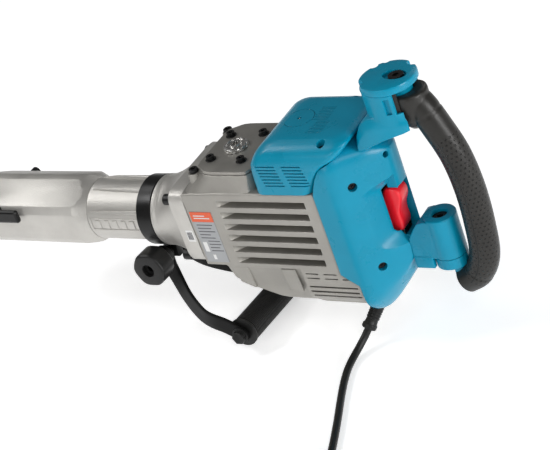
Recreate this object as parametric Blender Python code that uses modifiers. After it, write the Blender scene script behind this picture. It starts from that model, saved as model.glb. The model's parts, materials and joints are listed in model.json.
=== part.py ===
"""Electric jackhammer (demolition hammer), at real size.

The tool frame is in millimetres: x runs along the barrel, 0 at the front of the clamp ring and
positive towards the rear handle; y is 0 on the tool's middle plane and negative on the label side;
z is 0 on the barrel axis and positive towards the oil cap. at() turns such a point into scene
metres, with the origin under the middle of the tool, on the surface it lies on.
"""
import math

import bmesh
import bpy
from mathutils import Euler, Matrix, Vector

MM = 0.001

# Where the tool frame's zero lies in the scene.
MID_X = 78.4            # middle of the tool's length
MID_Y = -10.4           # middle of its width, side handle included
AXIS_Z = 160.0          # barrel axis above the surface the tool lies on

# Barrel and nose
NOSE_TIP = -296.0
NOSE_BACK = -81.0
NOSE_R = 47.5
BARREL_R = 38.7
BORE_R = 31.0           # bore for the cylinder liner
LINER_R = 27.0          # cylinder bore (54 mm)
SOCKET_AF = 30.4        # across flats of the 30 mm hexagon socket
SLEEVE_R = 30.0
COLLAR_R = 44.0
BAND = (0.4, 21.6)      # clamp band along x
GAP = 0.3               # between touching pieces

# Front flange and crankcase
FLANGE = (75.0, 98.0)
CASE_HALF = 61.5        # half width of the castings
CASE_BOTTOM, CASE_TOP = -36.0, 65.0
COVER_Z = 90.0          # top face of the crank cover
HOUSING_BACK = 279.5
HOUSING_FOOT_BACK = 299.5
HOUSING_BOTTOM = -103.0
HOUSING_TOP = 67.0

# Drive
CRANK_X, CRANK_THROW = 165.0, 16.0
ROD_LENGTH = 95.0
COUNTER_X, MOTOR_X = 205.0, 240.0
CRANK_GEAR_R, COUNTER_PINION_R = 30.0, 10.0
COUNTER_GEAR_R, MOTOR_PINION_R = 27.0, 8.0

# Rear housing and bow handle
REAR_BACK = 355.0
BOW_AXIS_X = 388.5      # vertical axis of both handle mounts
DRUM_X, DRUM_R = 378.5, 35.0    # the upper mount's drum is not centred on that axis
UPPER_DRUM = (134.0, 181.0)
LOWER_DRUM = (-49.0, 3.0)
LOWER_R = 19.0
KNUCKLE_R = 14.0
BOW_PATH = ((390, 154), (399, 151), (408, 141), (418, 117), (430, 80), (435, 36), (434, -10),
            (429, -50), (416, -75), (399, -86))
BOW_FOOT_X = 395.0
BOW_R, BOW_CORE_R = 17.0, 8.0

# Side handle, drawn with its grip straight below the barrel and then turned about the barrel
SIDE_TURN = 5.0        # degrees towards the label side
CLAMP_AT = (10.0, -51.0)            # x and z of the clamp bolt
GRIP_AT = (118.0, -137.0)           # x and z of the grip's rod
GRIP_HALF, GRIP_R = 57.0, 17.0
STRAP_W, STRAP_T = 21.0, 4.5
STRAP_TOP_Y, STRAP_END_Y = 22.0, 61.0

# Cord
CORD_D = 9.0
CORD_Z = -AXIS_Z + CORD_D / 2 + 0.2
GUARD = ((296.5, -5, -95), (275, -40, -136))
COIL_AT, COIL_R, COIL_SECTION = (269.0, -325.0), 49.0, 28.0


def at(x, y, z):
    """A point of the tool frame, in millimetres, as scene metres."""
    return Vector((x - MID_X, y - MID_Y, z + AXIS_Z)) * MM


for old in list(bpy.data.objects):
    bpy.data.objects.remove(old, do_unlink=True)
SCENE = bpy.context.scene
PARTS = bpy.data.collections.new("electric_jackhammer")
CUTTERS = bpy.data.collections.new("jackhammer_cutters")
SCENE.collection.children.link(PARTS)
SCENE.collection.children.link(CUTTERS)


def material(name, colour, roughness, metallic=0.0):
    made = bpy.data.materials.new(name)
    made.use_nodes = True
    shader = made.node_tree.nodes["Principled BSDF"]
    shader.inputs["Base Color"].default_value = (*colour, 1.0)
    shader.inputs["Roughness"].default_value = roughness
    shader.inputs["Metallic"].default_value = metallic
    made.diffuse_color = (*colour, 1.0)
    return made


CAST = material("cast_aluminium", (0.42, 0.41, 0.38), 0.45, 0.8)
BARREL_METAL = material("barrel_aluminium", (0.55, 0.55, 0.55), 0.38, 0.9)
TEAL = material("teal_plastic", (0.0, 0.27, 0.40), 0.35)
BLACK = material("black_plastic", (0.012, 0.012, 0.012), 0.45)
RUBBER = material("soft_grip", (0.03, 0.03, 0.032), 0.6)
BLACK_STEEL = material("black_steel", (0.01, 0.01, 0.01), 0.35, 0.4)
STEEL = material("bright_steel", (0.62, 0.62, 0.62), 0.3, 1.0)
RED = material("red_plastic", (0.80, 0.02, 0.03), 0.35)
COPPER = material("copper", (0.6, 0.28, 0.15), 0.35, 1.0)
BRASS = material("brass", (0.6, 0.45, 0.2), 0.35, 1.0)


HOME = {}               # where each joint's empty lies before its joint is turned


def joint_empty(name, point, turn=(0, 0, 0), parent=None):
    """An empty on a joint's axis, which the moving pieces hang from."""
    empty = bpy.data.objects.new(name, None)
    empty.empty_display_size = 0.03
    empty.location = at(*point)
    empty.rotation_euler = Euler([math.radians(a) for a in turn])
    if parent:
        empty.parent = parent
        empty.matrix_parent_inverse = Matrix.Translation(-HOME[parent.name])
    HOME[empty.name] = at(*point)
    PARTS.objects.link(empty)
    return empty


def settle(obj, name, look, hang=None):
    """Names the object, gives it its material and collection, and hangs it on its joint."""
    obj.name = name
    obj.data.name = name
    for held in list(obj.users_collection):
        held.objects.unlink(obj)
    if look is None:
        CUTTERS.objects.link(obj)
        obj.hide_render = True
        obj.display_type = "WIRE"
    else:
        PARTS.objects.link(obj)
        obj.data.materials.clear()
        obj.data.materials.append(look)
    if hang:
        obj.parent = hang
        obj.matrix_parent_inverse = Matrix.Translation(-HOME[hang.name])
    return obj


def from_bmesh(name, build, place, look, hang=None, smooth=True):
    mesh = bpy.data.meshes.new(name)
    shape = bmesh.new()
    build(shape)
    bmesh.ops.recalc_face_normals(shape, faces=shape.faces)
    shape.to_mesh(mesh)
    shape.free()
    if smooth:
        mesh.shade_smooth()
        mesh.set_sharp_from_angle(angle=math.radians(35))
    obj = bpy.data.objects.new(name, mesh)
    obj.matrix_world = place
    return settle(obj, name, look, hang)


def box(name, low, high, look=None, hang=None, bevel=0.0, segments=2):
    """A block from its low corner to its high corner, with rounded edges."""
    size = [abs(b - a) * MM for a, b in zip(low, high)]
    middle = [(a + b) / 2 for a, b in zip(low, high)]
    obj = from_bmesh(name, lambda b: bmesh.ops.create_cube(b, size=1.0, matrix=Matrix.Diagonal(
        (*size, 1.0))), Matrix.Translation(at(*middle)), look, hang)
    if bevel:
        round_edges(obj, bevel, segments)
    return obj


def round_edges(obj, width, segments=2, angle=35):
    edge = obj.modifiers.new("rounded", "BEVEL")
    edge.width = width * MM
    edge.segments = segments
    edge.limit_method = "ANGLE"
    edge.angle_limit = math.radians(angle)
    return obj


def rod(name, radius, start, end, look=None, hang=None, tip_radius=None, sides=20):
    """A round bar or cone between two points of the tool frame."""
    a, b = Vector(start), Vector(end)
    along = (b - a).normalized()
    place = Matrix.Translation(at(*((a + b) / 2))) @ along.to_track_quat("Z", "Y").to_matrix().to_4x4()
    tip = radius if tip_radius is None else tip_radius
    return from_bmesh(name, lambda m: bmesh.ops.create_cone(
        m, cap_ends=True, segments=sides, radius1=radius * MM, radius2=tip * MM,
        depth=(b - a).length * MM), place, look, hang)


def turned(name, profile, centre, axis, look=None, hang=None, sides=32):
    """A turned piece: the profile is (radius, height) pairs, run down its outer side."""
    closed = profile[0][0] > 0 or profile[-1][0] > 0
    mesh = bpy.data.meshes.new(name)
    points = [(r * MM, 0.0, h * MM) for r, h in profile]
    count = len(points)
    edges = [(i, (i + 1) % count) for i in range(count if closed else count - 1)]
    mesh.from_pydata(points, edges, [])
    obj = bpy.data.objects.new(name, mesh)
    obj.matrix_world = Matrix.Translation(at(*centre)) @ Vector(axis).to_track_quat(
        "Z", "Y").to_matrix().to_4x4()
    spin = obj.modifiers.new("turned", "SCREW")
    spin.steps = spin.render_steps = sides
    spin.use_merge_vertices = True
    spin.merge_threshold = 0.00002
    spin.use_smooth_shade = False
    return settle(obj, name, look, hang)


def ring(name, outer, inner, centre, axis, length, look, hang=None, sides=32):
    return turned(name, [(outer, length / 2), (outer, -length / 2), (inner, -length / 2),
                         (inner, length / 2)], centre, axis, look, hang, sides)


def meshed(obj, name, look, hang=None):
    """The curve's evaluated shape as a closed mesh, so that it can be cut or joined."""
    bpy.context.view_layer.update()
    graph = bpy.context.evaluated_depsgraph_get()
    mesh = bpy.data.meshes.new_from_object(obj.evaluated_get(graph))
    place = obj.matrix_world.copy()
    curve = obj.data
    bpy.data.objects.remove(obj)
    bpy.data.curves.remove(curve)
    shape = bmesh.new()
    shape.from_mesh(mesh)
    bmesh.ops.remove_doubles(shape, verts=shape.verts, dist=0.00001)
    bmesh.ops.recalc_face_normals(shape, faces=shape.faces)
    shape.to_mesh(mesh)
    shape.free()
    made = bpy.data.objects.new(name, mesh)
    made.matrix_world = place
    return settle(made, name, look, hang)


FACING = {"y": Matrix(((1, 0, 0), (0, 0, -1), (0, 1, 0))).to_4x4(),
          "x": Matrix(((0, 0, 1), (1, 0, 0), (0, 1, 0))).to_4x4(),
          "z": Matrix.Identity(4)}


def plate(name, outline, facing, low, high, look=None, hang=None):
    """A flat outline, extruded from low to high along the axis it faces."""
    curve = bpy.data.curves.new(name, "CURVE")
    curve.dimensions = "2D"
    curve.fill_mode = "BOTH"
    curve.extrude = (high - low) / 2 * MM
    spline = curve.splines.new("POLY")
    spline.points.add(len(outline) - 1)
    for point, (u, v) in zip(spline.points, outline):
        point.co = (u * MM, v * MM, 0.0, 1.0)
    spline.use_cyclic_u = True
    obj = bpy.data.objects.new(name, curve)
    middle = {"x": ((low + high) / 2, 0, 0), "y": (0, (low + high) / 2, 0),
              "z": (0, 0, (low + high) / 2)}[facing]
    obj.matrix_world = Matrix.Translation(at(*middle)) @ FACING[facing]
    SCENE.collection.objects.link(obj)
    return meshed(obj, name, look, hang)


def smooth_path(route, count):
    """Points spaced evenly in parameter along a Catmull-Rom curve through the route."""
    points = [Vector(p) for p in route]
    points = [2 * points[0] - points[1], *points, 2 * points[-1] - points[-2]]
    spans = len(points) - 3
    path = []
    for i in range(count):
        t = i / (count - 1) * spans
        k = min(int(t), spans - 1)
        t -= k
        a, b, c, d = points[k:k + 4]
        path.append(0.5 * ((2 * b) + (c - a) * t + (2 * a - 5 * b + 4 * c - d) * t ** 2
                           + (3 * b - a - 3 * c + d) * t ** 3))
    return path


def tube(name, path, radius, look=None, hang=None, resolution=4):
    """A round bar along a path of tool-frame points."""
    curve = bpy.data.curves.new(name, "CURVE")
    curve.dimensions = "3D"
    curve.bevel_depth = radius * MM
    curve.bevel_resolution = resolution
    curve.use_fill_caps = True
    spline = curve.splines.new("POLY")
    spline.points.add(len(path) - 1)
    start = at(*path[0])
    for point, p in zip(spline.points, path):
        point.co = (*(at(*p) - start), 1.0)
    obj = bpy.data.objects.new(name, curve)
    obj.location = start
    SCENE.collection.objects.link(obj)
    return meshed(obj, name, look, hang)


def loft(name, rings, look=None, hang=None):
    """A solid through closed rings that have the same number of points."""
    start = at(*rings[0][0])

    def build(shape):
        rows = [[shape.verts.new(at(*p) - start) for p in one] for one in rings]
        count = len(rows[0])
        for first, second in zip(rows, rows[1:]):
            for i in range(count):
                shape.faces.new((first[i], first[(i + 1) % count],
                                 second[(i + 1) % count], second[i]))
        shape.faces.new(rows[0])
        shape.faces.new(rows[-1])
    return from_bmesh(name, build, Matrix.Translation(start), look, hang)


def combine(obj, operation, others):
    for other in others:
        step = obj.modifiers.new(other.name, "BOOLEAN")
        step.operation = operation
        step.object = other
    return obj


def cut(obj, *cutters):
    return combine(obj, "DIFFERENCE", cutters)


def join(obj, *others):
    return combine(obj, "UNION", others)


def circle(radius, count=32, centre=(0, 0), turn=0.0):
    return [(centre[0] + radius * math.cos(2 * math.pi * i / count + turn),
             centre[1] + radius * math.sin(2 * math.pi * i / count + turn)) for i in range(count)]


def hexagon(across_flats, centre=(0, 0), turn=0.0):
    return circle(across_flats / math.sqrt(3), 6, centre, turn)


# --- Nose: tool socket, its retainer and the part of the barrel that takes the impact bolt ---

nose_profile = [(34, NOSE_TIP + 6), (40, NOSE_TIP + 12), (43, -262), (NOSE_R, -250), (NOSE_R, -98),
                (BARREL_R + 0.3, NOSE_BACK - GAP), (20.0, NOSE_BACK - GAP), (20.0, -172),
                (SLEEVE_R + GAP, -172), (SLEEVE_R + GAP, NOSE_TIP + 6)]
nose = turned("nose_housing", [(r, -x) for r, x in nose_profile], (0, 0, 0), (-1, 0, 0), BARREL_METAL)
RETAINER_X, RETAINER_Z = -222.0, 20.0
cut(nose, rod("nose_pin_hole", 7.4, (RETAINER_X, -60, RETAINER_Z), (RETAINER_X, 60, RETAINER_Z)),
    box("nose_side_flat_left", (-256, -60, -60), (-184, -43.6, 60)),
    box("nose_side_flat_right", (-256, 43.6, -60), (-184, 60, 60)))

sleeve = turned("hex_sleeve", [(r, -x) for r, x in (
    (27, NOSE_TIP + 1), (SLEEVE_R, NOSE_TIP + 5), (SLEEVE_R, -173), (14.6, -173),
    (14.6, NOSE_TIP + 1))], (0, 0, 0), (-1, 0, 0), STEEL)
cut(sleeve, plate("hex_socket_cutter", hexagon(SOCKET_AF), "x", NOSE_TIP - 5, -196),
    rod("sleeve_pin_hole", 7.4, (RETAINER_X, -60, RETAINER_Z), (RETAINER_X, 60, RETAINER_Z)))

retainer_axis = joint_empty("retainer_axis", (RETAINER_X, 0, RETAINER_Z))
retainer = rod("retainer_lever", 7.0, (RETAINER_X, -50, RETAINER_Z), (RETAINER_X, 50, RETAINER_Z),
               BLACK_STEEL, retainer_axis, sides=24)
cut(retainer, box("retainer_flat", (RETAINER_X - 10, -16, RETAINER_Z + 2),
                  (RETAINER_X + 10, 16, RETAINER_Z + 10), hang=retainer_axis))
join(retainer, box("retainer_arm", (RETAINER_X - 9, -56, RETAINER_Z - 9),
                   (RETAINER_X + 42, -48.4, RETAINER_Z + 9), hang=retainer_axis, bevel=3))
ring("nose_bumper", 37.5, 27.5, (NOSE_TIP + 2.5, 0, 0), (1, 0, 0), 5.0, RUBBER)
bpy.data.objects["nose_bumper"].location = at(NOSE_TIP + 3.0, 0, 0)
cut(sleeve, ring("sleeve_front_step", 32.0, 27.0, (NOSE_TIP + 2.0, 0, 0), (1, 0, 0), 8.0, None))

bolt_axis = joint_empty("impact_bolt_axis", (-140, 0, 0))
turned("impact_bolt", [(r, -x) for r, x in (
    (0, -194), (12, -194), (14, -191), (14, -150), (19.6, -144), (19.6, -104), (13, -98),
    (13, -81.5), (0, -81.5))], (0, 0, 0), (-1, 0, 0), STEEL, bolt_axis, sides=24)

# --- Front casting: barrel, collar and the flange that bolts to the crankcase ---

SECTION_POINTS = 32


def blend_section(x, round_share):
    """Between the round collar and the rectangular flange: 0 is the circle, 1 the rectangle."""
    section = []
    middle, half_h = (CASE_TOP + CASE_BOTTOM) / 2, (CASE_TOP - CASE_BOTTOM) / 2
    for i in range(SECTION_POINTS):
        a = 2 * math.pi * i / SECTION_POINTS
        c, s = math.cos(a), math.sin(a)
        power = 0.24
        flat_y = CASE_HALF * math.copysign(abs(c) ** power, c)
        flat_z = middle + half_h * math.copysign(abs(s) ** power, s)
        section.append((x, COLLAR_R * c * (1 - round_share) + flat_y * round_share,
                        COLLAR_R * s * (1 - round_share) + flat_z * round_share))
    return section


barrel = loft("barrel_casting", [blend_section(x, share) for x, share in (
    (22.0, 0.0), (30.0, 0.0), (42.0, 0.10), (56.0, 0.28), (68.0, 0.55), (FLANGE[0], 0.80),
    (FLANGE[0] + 3, 1.0), (FLANGE[1] - GAP, 1.0))], BARREL_METAL)
join(barrel, rod("barrel_tube", BARREL_R, (NOSE_BACK, 0, 0), (24, 0, 0), sides=32))
cut(barrel, rod("barrel_bore", BORE_R, (NOSE_BACK - 5, 0, 0), (FLANGE[1] + 5, 0, 0), sides=32))
FLANGE_SCREWS = ((-51.5, 51.0), (51.5, 51.0), (-54.0, -27.0), (54.0, -27.0))
for index, (y, z) in enumerate(FLANGE_SCREWS, 1):
    cut(barrel, rod(f"flange_screw_seat_{index}", 8.0, (40, y, z), (FLANGE[0] + 2, y, z), sides=20))
    head = rod(f"flange_screw_{index}", 6.8, (FLANGE[0] - 9, y, z), (FLANGE[0] + 1.6, y, z), BLACK_STEEL,
               sides=20)
    cut(head, plate(f"flange_screw_hex_{index}", hexagon(5.5, (y, z)), "x", FLANGE[0] - 12,
                    FLANGE[0] - 4))

ring("cylinder_liner", BORE_R - GAP, LINER_R, (5, 0, 0), (1, 0, 0), 170, STEEL, sides=32)
ram_axis = joint_empty("ram_axis", (-35, 0, 0))
turned("ram", [(r, -x) for r, x in ((0, -72), (20, -72), (LINER_R - GAP, -66),
                                    (LINER_R - GAP, -32), (0, -32))],
       (0, 0, 0), (-1, 0, 0), STEEL, ram_axis, sides=32)
piston_axis = joint_empty("piston_axis", (20, 0, 0))
turned("piston", [(r, -x) for r, x in (
    (0, 12), (LINER_R - GAP, 12), (LINER_R - GAP, 43), (20, 43), (20, 24), (0, 24))],
    (0, 0, 0), (-1, 0, 0), STEEL, piston_axis, sides=32)

# --- Crank and gear train ---

crank_axis = joint_empty("crank_axis", (CRANK_X, 0, 0))
PIN_X = CRANK_X + CRANK_THROW
crank = rod("crankshaft", 27.0, (CRANK_X, 0, -18), (CRANK_X, 0, -9), STEEL, crank_axis)
join(crank, rod("crank_pin", 8.0, (PIN_X, 0, -12), (PIN_X, 0, 8), hang=crank_axis),
     rod("crank_stub", 10.0, (CRANK_X, 0, -56), (CRANK_X, 0, -15), hang=crank_axis),
     rod("crank_gear", CRANK_GEAR_R - GAP / 2, (CRANK_X, 0, -50), (CRANK_X, 0, -42),
         hang=crank_axis, sides=32))
rod_axis = joint_empty("crank_pin_axis", (PIN_X, 0, 0), parent=crank_axis)
link = rod("connecting_rod", 13.0, (PIN_X, 0, -6), (PIN_X, 0, 6), STEEL, rod_axis)
join(link, box("rod_shank", (PIN_X - ROD_LENGTH, -5, -4.5), (PIN_X, 5, 4.5), hang=rod_axis),
     rod("rod_small_end", 9.0, (PIN_X - ROD_LENGTH, 0, -6), (PIN_X - ROD_LENGTH, 0, 6),
         hang=rod_axis))
cut(link, rod("rod_big_bore", 8.0 + GAP, (PIN_X, 0, -20), (PIN_X, 0, 20), hang=rod_axis),
    rod("rod_small_bore", 5.0, (PIN_X - ROD_LENGTH, 0, -20), (PIN_X - ROD_LENGTH, 0, 20),
        hang=rod_axis))
ring("crank_bearing", 20.0, 10.0 + GAP, (CRANK_X, 0, -28.5), (0, 0, 1), 16, STEEL)

counter_axis = joint_empty("counter_axis", (COUNTER_X, 0, -50))
counter = rod("countershaft", 5.0, (COUNTER_X, 0, -70), (COUNTER_X, 0, -38), STEEL, counter_axis,
              sides=24)
join(counter, rod("counter_pinion", COUNTER_PINION_R - GAP / 2, (COUNTER_X, 0, -50.5),
                  (COUNTER_X, 0, -41.5), hang=counter_axis),
     rod("counter_gear", COUNTER_GEAR_R - GAP / 2, (COUNTER_X, 0, -66), (COUNTER_X, 0, -59),
         hang=counter_axis, sides=32))

motor_axis = joint_empty("motor_axis", (MOTOR_X, 0, 10))
armature = rod("armature", 23.0, (MOTOR_X, 0, -10), (MOTOR_X, 0, 36), STEEL, motor_axis)
join(armature, rod("armature_shaft", 6.0, (MOTOR_X, 0, -58), (MOTOR_X, 0, 73), hang=motor_axis,
                   sides=16),
     rod("armature_pinion", MOTOR_PINION_R - GAP / 2, (MOTOR_X, 0, -67), (MOTOR_X, 0, -57),
         hang=motor_axis, sides=24))
ring("commutator", 15.0, 6.0 + 2 * GAP, (MOTOR_X, 0, 50), (0, 0, 1), 16, COPPER, motor_axis, 24)
FAN_BLADES = 8
fan_outline = []
for i in range(FAN_BLADES):
    middle = 2 * math.pi * i / FAN_BLADES
    for radius, turn in ((14, -0.16), (34, -0.05), (34, 0.05), (14, 0.16)):
        fan_outline.append((MOTOR_X + radius * math.cos(middle + turn),
                            radius * math.sin(middle + turn)))
fan = plate("cooling_fan", fan_outline, "z", -27, -18, BLACK, motor_axis)
cut(fan, rod("fan_bore", 6.0 + 2 * GAP, (MOTOR_X, 0, -40), (MOTOR_X, 0, 0), hang=motor_axis, sides=16))
ring("field_stator", 37.5, 24.5, (MOTOR_X, 0, 13), (0, 0, 1), 50, COPPER, sides=32)
ring("motor_bearing_lower", 13.0, 6.0 + 2 * GAP, (MOTOR_X, 0, -35), (0, 0, 1), 8, STEEL, sides=24)
ring("motor_bearing_upper", 13.0, 6.0 + 2 * GAP, (MOTOR_X, 0, 68), (0, 0, 1), 7, STEEL, sides=24)
bridge = ring("brush_bridge", 37.5, 13.6, (MOTOR_X, 0, 62), (0, 0, 1), 4, BLACK, sides=32)
join(bridge, ring("bearing_seat", 17.0, 13.6, (MOTOR_X, 0, 66), (0, 0, 1), 11, None, sides=32))
for side, name in ((-1, "left"), (1, "right")):
    box(f"brush_holder_{name}", (MOTOR_X - 6, min(side * 15.6, side * 34), 43),
        (MOTOR_X + 6, max(side * 15.6, side * 34), 56), BRASS)

# --- Crankcase and motor housing, one casting ---

side_view = [(FLANGE[1] + 0.0, CASE_BOTTOM), (126, CASE_BOTTOM), (131, -55), (150, -67), (200, -86),
             (225, HOUSING_BOTTOM), (HOUSING_FOOT_BACK, HOUSING_BOTTOM), (HOUSING_FOOT_BACK, -57),
             (HOUSING_BACK, -42), (HOUSING_BACK, HOUSING_TOP), (150, HOUSING_TOP),
             (FLANGE[1] + 0.0, CASE_TOP)]
housing = plate("gear_housing", side_view, "y", -CASE_HALF, CASE_HALF, CAST)
trim = []
for side, name in ((-1, "left"), (1, "right")):
    trim.append(plate(f"housing_lower_corner_{name}", [
        (side * (CASE_HALF + 5), HOUSING_BOTTOM - 5), (side * (CASE_HALF + 5), -64),
        (side * CASE_HALF, -70), (side * (CASE_HALF - 7), -82), (side * (CASE_HALF - 20), -91),
        (side * (CASE_HALF - 26), HOUSING_BOTTOM - 5)][::side], "x", 100, 310))
cut(housing, *trim)
top = [(117, -38), (137, -53), (200, -53), (200, 53), (137, 53), (117, 38)]
foot = [(FLANGE[1] + 1, -52), (FLANGE[1] + 10, -61), (202, -61), (202, 61), (FLANGE[1] + 10, 61),
        (FLANGE[1] + 1, 52)]
join(housing, loft("crankcase_top", [[(x, y, 55) for x, y in foot], [(x, y, 64) for x, y in foot],
                                     [(x, y, COVER_Z - 4) for x, y in top]]))
join(housing, *[rod(f"top_boss_{i}", 7.0, (115.5, y, 50), (115.5, y, 85), sides=20)
                for i, y in enumerate((-42, 42))])
chamber = rod("crank_chamber", 30.0, (CRANK_X, 0, -18.6), (CRANK_X, 0, COVER_Z), sides=32)
cut(housing, chamber,
    rod("rod_passage", LINER_R, (FLANGE[1] - 5, 0, 0), (CRANK_X, 0, 0), sides=32),
    rod("crank_bearing_seat", 20.0 + GAP, (CRANK_X, 0, -40), (CRANK_X, 0, -15), sides=32),
    rod("crank_gear_room", CRANK_GEAR_R + 1.5, (CRANK_X, 0, -52), (CRANK_X, 0, -38), sides=32),
    rod("crank_stub_room", 11.5, (CRANK_X, 0, -58), (CRANK_X, 0, -50), sides=24),
    rod("counter_gear_room", COUNTER_GEAR_R + 1.5, (COUNTER_X, 0, -72), (COUNTER_X, 0, -37.5),
        sides=32),
    box("pinion_room", (COUNTER_X, -11, -70), (MOTOR_X + 10, 11, -45)),
    rod("motor_chamber", 38.0, (MOTOR_X, 0, -31), (MOTOR_X, 0, 80), sides=32),
    rod("guard_notch", 9.8, GUARD[0], GUARD[1], sides=24),
    rod("motor_bearing_seat", 13.0 + GAP, (MOTOR_X, 0, -50), (MOTOR_X, 0, -25), sides=32))
LOUVRES = 6
for side, name in ((-1, "left"), (1, "right")):
    for i in range(LOUVRES):
        z = 52.5 - i * 15.8
        low, high = sorted((side * (CASE_HALF - 12), side * (CASE_HALF + 3)))
        cut(housing, box(f"louvre_{name}_{i}", (146 + 1.0 * i, low, z - 4), (266, high, z + 4)))
    low, high = sorted((side * 35, side * (CASE_HALF + 3)))
    for i in range(3):
        cut(housing, box(f"exhaust_{name}_{i}", (232 + 2 * i, low, -62.5 - 6.5 * i),
                         (288, high, -60.5 - 6.5 * i)))
for side in (-1, 1):
    cut(housing, box(f"exhaust_duct_{side}", (252, min(side * 8, side * 50), -80),
                     (284, max(side * 8, side * 50), -46)))
cut(housing, box("exhaust_duct_neck", (255, -9, -76), (270, 9, -50)),
    rod("exhaust_up", 10.0, (262, 20, -60), (262, 20, -25)),
    rod("exhaust_up_left", 10.0, (262, -20, -60), (262, -20, -25)))

COVER_SCREWS = ((131.5, -25.0), (131.5, 25.0), (175.5, -28.0), (175.5, 28.0))
crank_cover = plate("crank_cover", [(118, -37.5), (137.4, -52), (199, -52), (199, 52), (137.4, 52),
                                    (118, 37.5)], "z", COVER_Z - 4 + GAP, COVER_Z, CAST)
OIL_X = 153.0
cut(crank_cover, rod("oil_hole", 10.0, (OIL_X, 0, 60), (OIL_X, 0, 110), sides=32))
oil_axis = joint_empty("oil_cap_axis", (OIL_X, 0, COVER_Z))
oil_cap = turned("oil_cap", [(0, 6.0), (11, 6.0), (15, 4.6), (15, GAP), (9.7, GAP), (9.7, -6),
                             (0, -6)], (OIL_X, 0, COVER_Z), (0, 0, 1), STEEL, oil_axis, sides=32)
cut(oil_cap, box("oil_cap_slot", (OIL_X - 8, -1.8, COVER_Z + 3), (OIL_X + 8, 1.8, COVER_Z + 9),
                 hang=oil_axis))
for index, (x, y) in enumerate(COVER_SCREWS, 1):
    cut(crank_cover, rod(f"cover_screw_seat_{index}", 5.3, (x, y, COVER_Z - 2), (x, y, COVER_Z + 9),
                         sides=20))
    head = rod(f"cover_screw_{index}", 5.0, (x, y, COVER_Z - 1.7), (x, y, COVER_Z + 5), BLACK_STEEL,
               sides=20)
    cut(head, plate(f"cover_screw_hex_{index}", hexagon(4.5, (x, y)), "z", COVER_Z + 2, COVER_Z + 9))

# --- Teal motor cover: a skirt with a domed top that slopes down in front ---


def cover_ring(z, inset, front, back):
    """A rounded outline of the cover, seen from above, at one height."""
    half, r = CASE_HALF + 0.8 - inset, 14.0
    corners = ((front + r, -half + r, 180), (back - r, -half + r, 270), (back - r, half - r, 0),
               (front + r, half - r, 90))
    points = []
    for x, y, first in corners:
        for step in range(6):
            a = math.radians(first + 90 * step / 5)
            points.append((x + r * math.cos(a), y + r * math.sin(a), z))
    return points


outer = [cover_ring(HOUSING_TOP + GAP, 0, 203, 279), cover_ring(98, 0, 205, 300),
         cover_ring(108, 1, 209, 316), cover_ring(118, 5, 217, 328), cover_ring(125, 12, 227, 332),
         cover_ring(128.5, 20, 238, 326)]
motor_cover = loft("motor_cover", outer, TEAL)
inner = [cover_ring(HOUSING_TOP - 3, 4, 207, 275), cover_ring(96, 4, 209, 275),
         cover_ring(112, 8, 219, 290), cover_ring(122, 18, 233, 300)]
cut(motor_cover, loft("motor_cover_hollow", inner))
for side, name in ((-1, "left"), (1, "right")):
    low, high = sorted((side * (CASE_HALF - 8), side * (CASE_HALF + 3)))
    for column in (0, 1):
        for row in range(3):
            x = 220 + 32 * column + 2 * row
            cut(motor_cover, box(f"inlet_{name}_{column}_{row}", (x, low, 78 + 9 * row),
                                 (x + 27, high, 80 + 9 * row)))

# --- Rear housing: two half shells round the switch ---


def rear_ring(x, half, top_z, shoulder, bottom, corner):
    """A section of the rear housing, symmetrical about the middle plane."""
    left = [(0, top_z), (-half * 0.7, top_z), (-half * 0.9, top_z - shoulder * 0.35),
            (-half, top_z - shoulder), (-half, bottom + corner + 18),
            (-half * 0.93, bottom + corner), (-half * 0.62, bottom + 8),
            (-half * 0.30, bottom), (0, bottom)]
    right = [(-y, z) for y, z in left[-2:0:-1]]
    return [(x, y, z) for y, z in left + right]


REAR_STATIONS = ((HOUSING_BACK + GAP, 62, 108, 20, -108, 26), (300, 62.5, 112, 20, -115, 26),
                 (312, 58, 112, 20, -107, 24), (325, 46.5, 110, 20, -92, 20),
                 (339, 33, 106, 16, -75, 14), (349, 21, 100, 12, -58, 8),
                 (REAR_BACK, 12, 95, 8, -46, 5))


def rear_loft(name, grow=0.0, look=None):
    """The rear housing's outer shape, grown all round when it clears room for a neighbour."""
    return loft(name, [rear_ring(x + grow, half + grow, top_z + grow, shoulder, bottom - grow, corner)
                       for x, half, top_z, shoulder, bottom, corner in REAR_STATIONS], look)


rear = rear_loft("rear_shell_left", look=TEAL)
rear_envelope = rear_loft("rear_envelope", grow=0.8)
hollow_x = (HOUSING_BACK - 6, 298, 308, 320, 332, 340, 345)
rear_hollow = loft("rear_hollow", [
    rear_ring(x, half - 4, top_z - 4, shoulder, bottom + 4, corner)
    for x, (_, half, top_z, shoulder, bottom, corner) in zip(hollow_x, REAR_STATIONS)])
foot_room = plate("foot_room", [(HOUSING_BACK - 20, -41.7), (HOUSING_BACK + GAP, -41.7),
                                (HOUSING_FOOT_BACK + GAP, -56.7), (HOUSING_FOOT_BACK + GAP, -130),
                                (HOUSING_BACK - 20, -130)], "y", -90, 90)
cover_room = loft("cover_room", [cover_ring(40, -0.5, 190, 279.2), cover_ring(98, -0.5, 190, 300.5),
                                 cover_ring(108, 0.5, 190, 316.5), cover_ring(118, 4.5, 190, 328.5),
                                 cover_ring(150, 4.5, 190, 333)])
trigger_slot = box("trigger_slot", (325, -12.5, -21), (372, 12.5, 45))
guard_hole = rod("guard_hole", 9.6, GUARD[0], GUARD[1], sides=24)
cut(rear, rear_hollow, foot_room, cover_room, trigger_slot, guard_hole)
rear_right = rear.copy()
rear_right.data = rear.data.copy()
PARTS.objects.link(rear_right)
rear_right.name = "rear_shell_right"
rear_right.data.name = "rear_shell_right"
cut(rear, box("keep_left", (240, -GAP / 2, -200), (420, 120, 200)))
cut(rear_right, box("keep_right", (240, -120, -200), (420, GAP / 2, 200)))

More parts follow.
